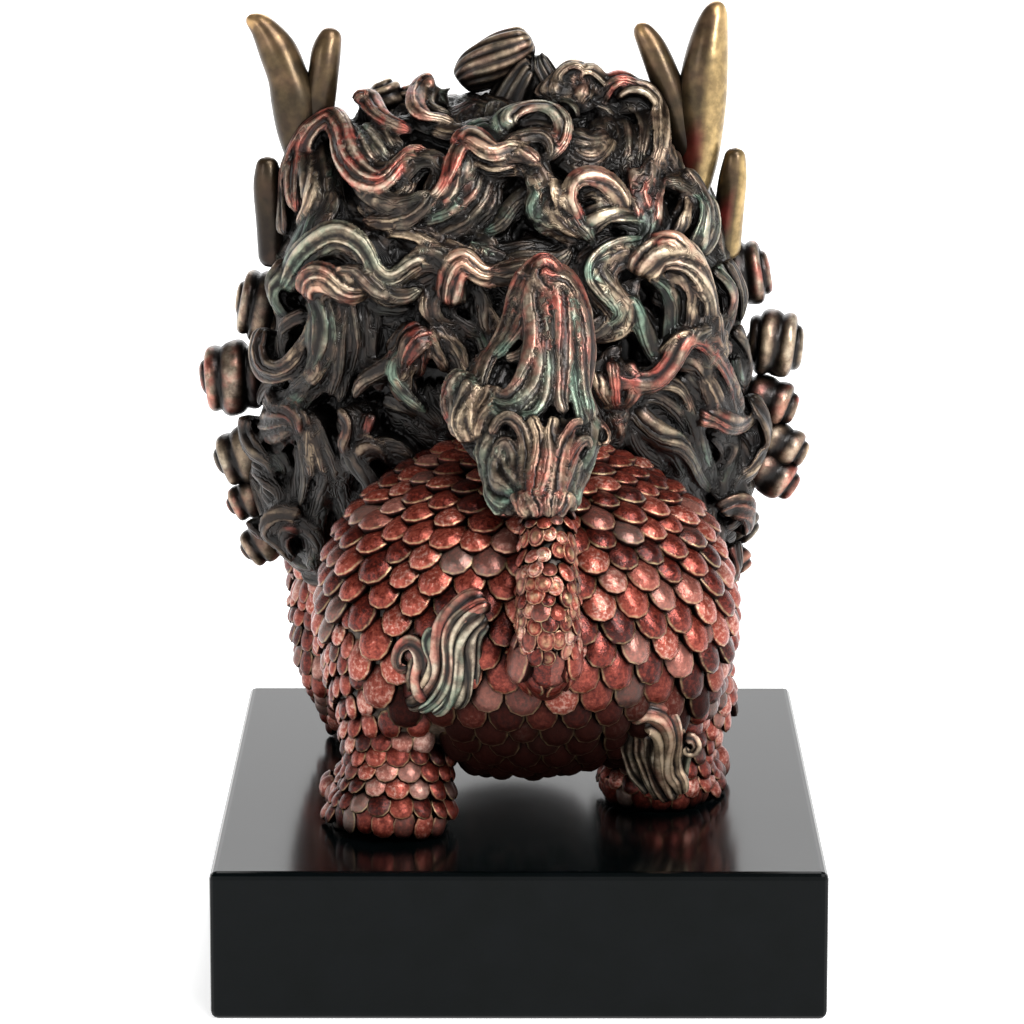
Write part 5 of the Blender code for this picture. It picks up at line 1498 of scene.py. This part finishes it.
    def carve_side_waves(self):
        """Waves over the rim of the mane, from behind the face back to those drawn on its rear."""
        for row, (start, stop, count, width) in enumerate(SIDE_WAVES):
            for i in range(count):
                turn = RIM_SWEEP * ((i + 0.5 * (row % 2)) / (count - 1) - 0.5)
                t = np.linspace(0, 1, 16)
                sway = chance.choice((-1, 1)) * chance.uniform(0.05, 0.12)
                turns = turn + sway * np.sin(TURN * t * 0.9) + chance.uniform(-0.03, 0.03)
                foot, normals = mane_rim(turns, start + (stop - start) * t)
                rise = chance.uniform(0.4, 2.0) * np.sin(math.pi * (0.15 + 0.8 * t))
                size = width * chance.uniform(0.8, 1.2)
                body = (1.0 - 0.45 * t) * ends(16, 0.15, 0.12)
                tint = chance.choice(LOCK_TINTS)
                centres = foot + normals * (rise - 0.35 * size)[:, None]
                sweep(self.waves, centres, normals, 0.55 * size * body, 0.42 * size * body, rise + 1.0, 4,
                      blend_tints(tint, 16), crest_finish=0.5, drift=0.12, fineness=6, lines=10)


def carve_curls():
    """The rolled curls on the rim of the mane, on the crown, and in rows round the face."""
    curls = Carving()
    for i, ((x, z), radius, width) in enumerate(RIM_CURLS + TOP_CURLS):
        outward = unit((x - MANE_CENTRE[0], 0, z - MANE_CENTRE[2]))
        middle = np.array((x, RIM_DEPTH, z)) - outward * 0.7
        carve_rolled_curl(curls, middle, outward, radius, width, CURL_TINTS[i % 4])
    for depth, count, radius in CURL_RINGS:
        for i in range(count):
            turn = RIM_SWEEP * (i / (count - 1) - 0.5) + chance.uniform(-0.04, 0.04)
            foot, outward = mane_rim(np.array(turn), depth + chance.uniform(-1.5, 1.5))
            middle = foot - outward * RING_SINKING
            tilt = unit(outward + [chance.uniform(-0.35, 0.35) for _ in range(3)])
            size = radius * chance.uniform(0.82, 1.08)
            carve_rolled_curl(curls, middle, tilt, size, size * 1.5, CURL_TINTS[i % 4])
    carve_tube(curls, CROWN_CURL, "plain gold", 60, flutes=12, twist=1.2, step=0.6, crest_finish=0.6)
    carve_tube(curls, CROWN_STEM, "plain plain", 48, flutes=12, twist=0.6, step=0.8, crest_finish=0.6)
    return curls


def carve_drawn(carving, strands, press, fullness=0.66):
    """Carves strands that are drawn like the waves; press takes x, z and lift to centres and normals."""
    for tints, width, lift, *course in strands:
        rows = stations_for(course, 0.7)
        path = smooth_curve(course, rows)
        t = np.linspace(0, 1, rows)
        uneven = 1 + 0.08 * np.sin(TURN * (2.3 * t + chance.random()))
        body = (1.05 - 0.4 * t) * ends(rows, 0.1, 0.1) * uneven
        centres, normals = press(path[:, 0], path[:, 1], lift)
        sweep(carving, centres, normals, fullness * width * body, 0.52 * width * body, 2.2 + 0 * body,
              max(2, round(width / 1.7)), blend_tints(tints, rows), groove=0.3, crest_finish=0.85, drift=0.14,
              fineness=8, roll=chance.uniform(-0.2, 0.2), lines=round(width / 0.6))


def on_plume(x, z, lift):
    """Puts drawn points on the domed back of the plume, and gives the normals."""
    heights, depths, middles, breadths = zip(*PLUME_LEAN)
    depth, middle, breadth = (np.interp(z, heights, values) for values in (depths, middles, breadths))
    aside = np.clip((x - middle) / breadth, -1, 1)
    normals = unit(np.stack((0.8 * aside, np.ones_like(x), np.full_like(x, 0.3)), -1))
    dome = 0.55 * breadth * np.sqrt(1 - 0.95 * aside ** 2) - 0.55 * breadth
    return sight_point(x, z, depth, PLUME_DRAWN_DEPTH) + normals * (dome + lift)[:, None], normals


def on_hock(x, z, lift):
    """Puts drawn points on the leaning back of the right hock."""
    depth = np.interp(z, *zip(*HOCK_FLAME_LEAN))
    normals = np.broadcast_to(unit((-0.1, 1, 0.1)), (len(x), 3))
    return sight_point(x, z, depth, HOCK_FLAME_DEPTH) + normals * (lift - 1.0), normals


def on_thigh(x, z, lift):
    """Puts drawn points on the round of the rump, beside the tail."""
    return on_ball("rump", x, z, lift - 0.2, THIGH_FLAME_DEPTH)


def carve_plume():
    """The tail's plume of hair, its pod, the palmette at its foot and the ribbons beside it."""
    plume = Carving()
    # The plume has its own draws, so that it stays the same whatever is drawn before it.
    chance.seed(PLUME_SEED)
    carve_drawn(plume, PLUME_STRANDS, on_plume, 0.8)
    heights, _, middles, breadths = np.array(smooth_curve(PLUME_LEAN[1:], 30)).T
    centres, _ = on_plume(middles, heights, np.full(30, -4.2))
    shape = (breadths - 2.6) * ends(30, 0.1, 0.1)
    facing = np.broadcast_to(unit((0, 1, 0.3)), (30, 3))
    for side in (1, -1):
        sweep(plume, centres, side * facing, shape, (0.36 if side > 0 else 0.6) * shape, 0.2 * shape, 9,
              TINTS["plain"], crest_finish=0.25 if side > 0 else 0.7, fineness=6, drift=0.05, lines=18)
    return plume


def carve_face_hair():
    """The brows, the moustache and the beard."""
    flames = Carving()
    for facing, tints, flutes, *stations in FACE_HAIR.values():
        rows = stations_for([s[:3] for s in stations], 0.9, 16)
        samples = smooth_curve(stations, rows)
        width = samples[:, 3] * ends(rows, 0.08, 0.08)
        facings = np.broadcast_to(facing, (rows, 3))
        sweep(flames, samples[:, :3], facings, width, 0.6 * width, 0.5 * width, flutes,
              blend_tints(tints, rows))
    return flames


def make_mane():
    """The mane and all the other hair, in one patinated bronze."""
    hair = patinated_hair()
    mane = Mane()
    mane.carve_core()
    for wave in WAVES:
        mane.carve_wave(*wave)
    mane.fill(FILL_TRIES)
    mane.carve_side_waves()
    mane.drape(DRAPED_LOCKS)
    mane.waves.cast("mane", hair, MANE_GRAIN, 1, MANE_TRIANGLES)
    carve_curls().build("mane_curls", hair)
    carve_plume().cast("tail_plume", hair, PLUME_GRAIN, 1, PLUME_TRIANGLES)
    flames = Carving()
    carve_drawn(flames, THIGH_FLAME, on_thigh, 0.78)
    carve_drawn(flames, HOCK_FLAME, on_hock, 0.95)
    flames.build("leg_flames", hair)
    carve_face_hair().build("face_hair", hair)


def make_horns():
    """Antlers and ears. The right ones have gold on one side and patches of red; the red patch on
    the antler is a painted reflection.
    """
    horns, sides = Carving(), 28
    for name, stations in HORNS.items():
        ear = "ear" in name
        carve_tube(horns, stations, "plain plain", sides, step=0.9, crest_finish=0.6 if ear else 1.0)
        rings = horns.points[-1].reshape(-1, sides, 3)
        finish = horns.finish[-1].reshape(-1, sides, 5)
        finish[..., 1:4] = 0
        finish[..., 3] = (0.1 if ear else 0.18) * finish[..., 0]
        if name in ("right antler", "right ear"):
            aside = unit(rings - rings.mean(1, keepdims=True))[..., 0]
            finish[..., 3] = np.clip(0.1 - 1.5 * aside - (0.4 if ear else 0), 0.1, 0.78)
            middle, reach = (159, 6) if ear else (173, 8)
            # The patch of red on the right antler is a painted reflection.
            patch = np.clip(1.6 - np.abs(rings[..., 2] - middle + 4 * aside) / reach * 1.6, 0, 1)
            finish[..., 1] = patch * np.clip(0.5 + 1.5 * aside, 0, 1) * (1.0 if ear else 0.7)
            finish[..., 3] *= 1 - finish[..., 1]
    horns.build("horns", burnished_horn())


def make_face():
    """Broad brows and cheeks, a snub nose and an open mouth."""
    masses = [form for name, form in HEAD_MASSES.items() if name not in MANE_FALLS]
    settle(fused("face", masses, [], SKIN_GRAIN, 3), bronze_face())


def make_teeth():
    """A row of teeth in each jaw, with a longer fang near both ends."""
    teeth = Carving()
    for x in range(-4, 6):
        for z, down in ((122.5, 1), (110.5, -1)):
            place = FACE_MIDDLE + 2.9 * (x - 0.5)
            depth = -78 + 0.045 * (place - FACE_MIDDLE) ** 2 + (6 if down < 0 else 0)
            fang = 4.6 if x in (-3, 4) else 2.4
            carve_tube(teeth, ((place, depth, z + 2 * down, 1.5), (place, depth - 0.4, z, 1.4),
                               (place, depth, z - fang * down, 0.5)), "plain plain", 10, step=0.8)
    teeth.build("teeth", mottled("aged_ivory_paint", 1.5, "#8f7c5e", "#c9b999", Roughness=0.45))


def make_eyes():
    """Gilt eyeballs, whose pupils are a piece of their own."""
    eyes = Carving()
    for x in (17.5, -8.5):
        carve_ball(eyes, np.array((x, -66, 145.5)), np.array((5.2, 5.2, 5.2)), "gold", 1.0)
    eyes.build("eyes", mottled("gilded_eyes", 2.0, "#8a6534", "#c8a468", Metallic=0.8, Roughness=0.25))


def make_tongue():
    """A tongue that lies in the open mouth."""
    tongue = Carving()
    stations = ((-50, 112, 8), (-62, 113, 7), (-70, 113.5, 5.5), (-74, 112, 3))
    carve_tube(tongue, [(FACE_MIDDLE, *station) for station in stations], "plain plain")
    red = mottled("red_bronze_tongue", 2.0, "#5a1c18", "#8e352c", Metallic=0.4, Roughness=0.4)
    tongue.build("tongue", red)


def make_pupils():
    """Black pupils on the front of the eyes."""
    pupils = Carving()
    for x in (17.8, -8.8):
        carve_ball(pupils, np.array((x, -69.6, 145.8)), np.array((1.9, 1.9, 1.9)), "plain", 0.0, 10, 14)
    pupils.build("pupils", mottled("black_pupils", 1.0, "#080605", "#120e0c", Roughness=0.3))


def dress_plinth():
    """Puts the lacquer in every slot of the plinth, whose shape stays."""
    lacquer = black_lacquer()
    for obj in bpy.data.objects:
        if obj.type == "MESH" and obj.name.split(".")[0].endswith("plinth"):
            for slot in obj.material_slots:
                slot.material = lacquer


def place_camera():
    """A long lens behind the beast, a little above it."""
    camera_data = bpy.data.cameras.new("camera")
    camera_data.lens = 185.6
    camera_data.sensor_width = 36
    camera = bpy.data.objects.new("camera", camera_data)
    camera.location = (-0.001257, 1.15382, 0.32455)
    camera.rotation_euler = (math.radians(90 - 11.393), 0, math.radians(180.1454))
    bpy.context.scene.collection.objects.link(camera)
    bpy.context.scene.camera = camera


def lay_floor():
    """Matt white paper that glows a little, so that it shows evenly white."""
    deselect_all()
    bpy.ops.mesh.primitive_plane_add(size=12, location=(0, 0, 0))
    floor = bpy.context.object
    floor.name = "floor"
    white, _, paper = new_material("matt_white_paper", Base_Color=linear("#f7f7f7"), Roughness=1.0)
    paper.inputs["Specular IOR Level"].default_value = 0.0
    paper.inputs["Emission Color"].default_value = (1, 1, 1, 1)
    paper.inputs["Emission Strength"].default_value = 0.6
    floor.data.materials.append(white)


def light_studio():
    """A bright horizon under a dim sky, a soft sun and three softboxes."""
    world = bpy.data.worlds.new("studio")
    world.use_nodes = True
    tree = world.node_tree
    way = add_node(tree, "ShaderNodeTexCoord").outputs["Generated"]
    height = add_node(tree, "ShaderNodeSeparateXYZ", {0: way}).outputs["Z"]
    sky = ramp(tree, height, (0.0, "#ffffff"), (0.27, "#f6f6f6"), (0.36, "#6c6c6c"), (0.6, "#3c3c3c"))
    tree.nodes["Background"].inputs["Strength"].default_value = 1.85
    tree.links.new(sky, tree.nodes["Background"].inputs["Color"])
    bpy.context.scene.world = world
    sun_data = bpy.data.lights.new("sun", "SUN")
    sun_data.energy = 2.4
    sun_data.angle = math.radians(30)
    sun = bpy.data.objects.new("sun", sun_data)
    sun.rotation_euler = Vector((0.38, -0.5, -1.0)).to_track_quat("-Z", "Y").to_euler()
    bpy.context.scene.collection.objects.link(sun)
    for name, place, size, power in (
        ("left softbox", (0.9, 0.9, 0.7), 0.4, 3),
        ("right softbox", (-0.7, 0.9, 0.8), 0.25, 14),
        ("front softbox", (0, -1.2, 0.9), 0.9, 8),
    ):
        lamp = bpy.data.lights.new(name, "AREA")
        lamp.size = size
        lamp.energy = power
        light = bpy.data.objects.new(name, lamp)
        light.location = place
        light.rotation_euler = (Vector((0, 0, 0.1)) - light.location).to_track_quat("-Z", "Y").to_euler()
        bpy.context.scene.collection.objects.link(light)
    bpy.context.scene.view_settings.view_transform = "Standard"


def main():
    make_body()
    make_claws()
    make_mane()
    make_horns()
    make_face()
    make_teeth()
    make_eyes()
    make_tongue()
    make_pupils()
    dress_plinth()
    place_camera()
    lay_floor()
    light_studio()


main()
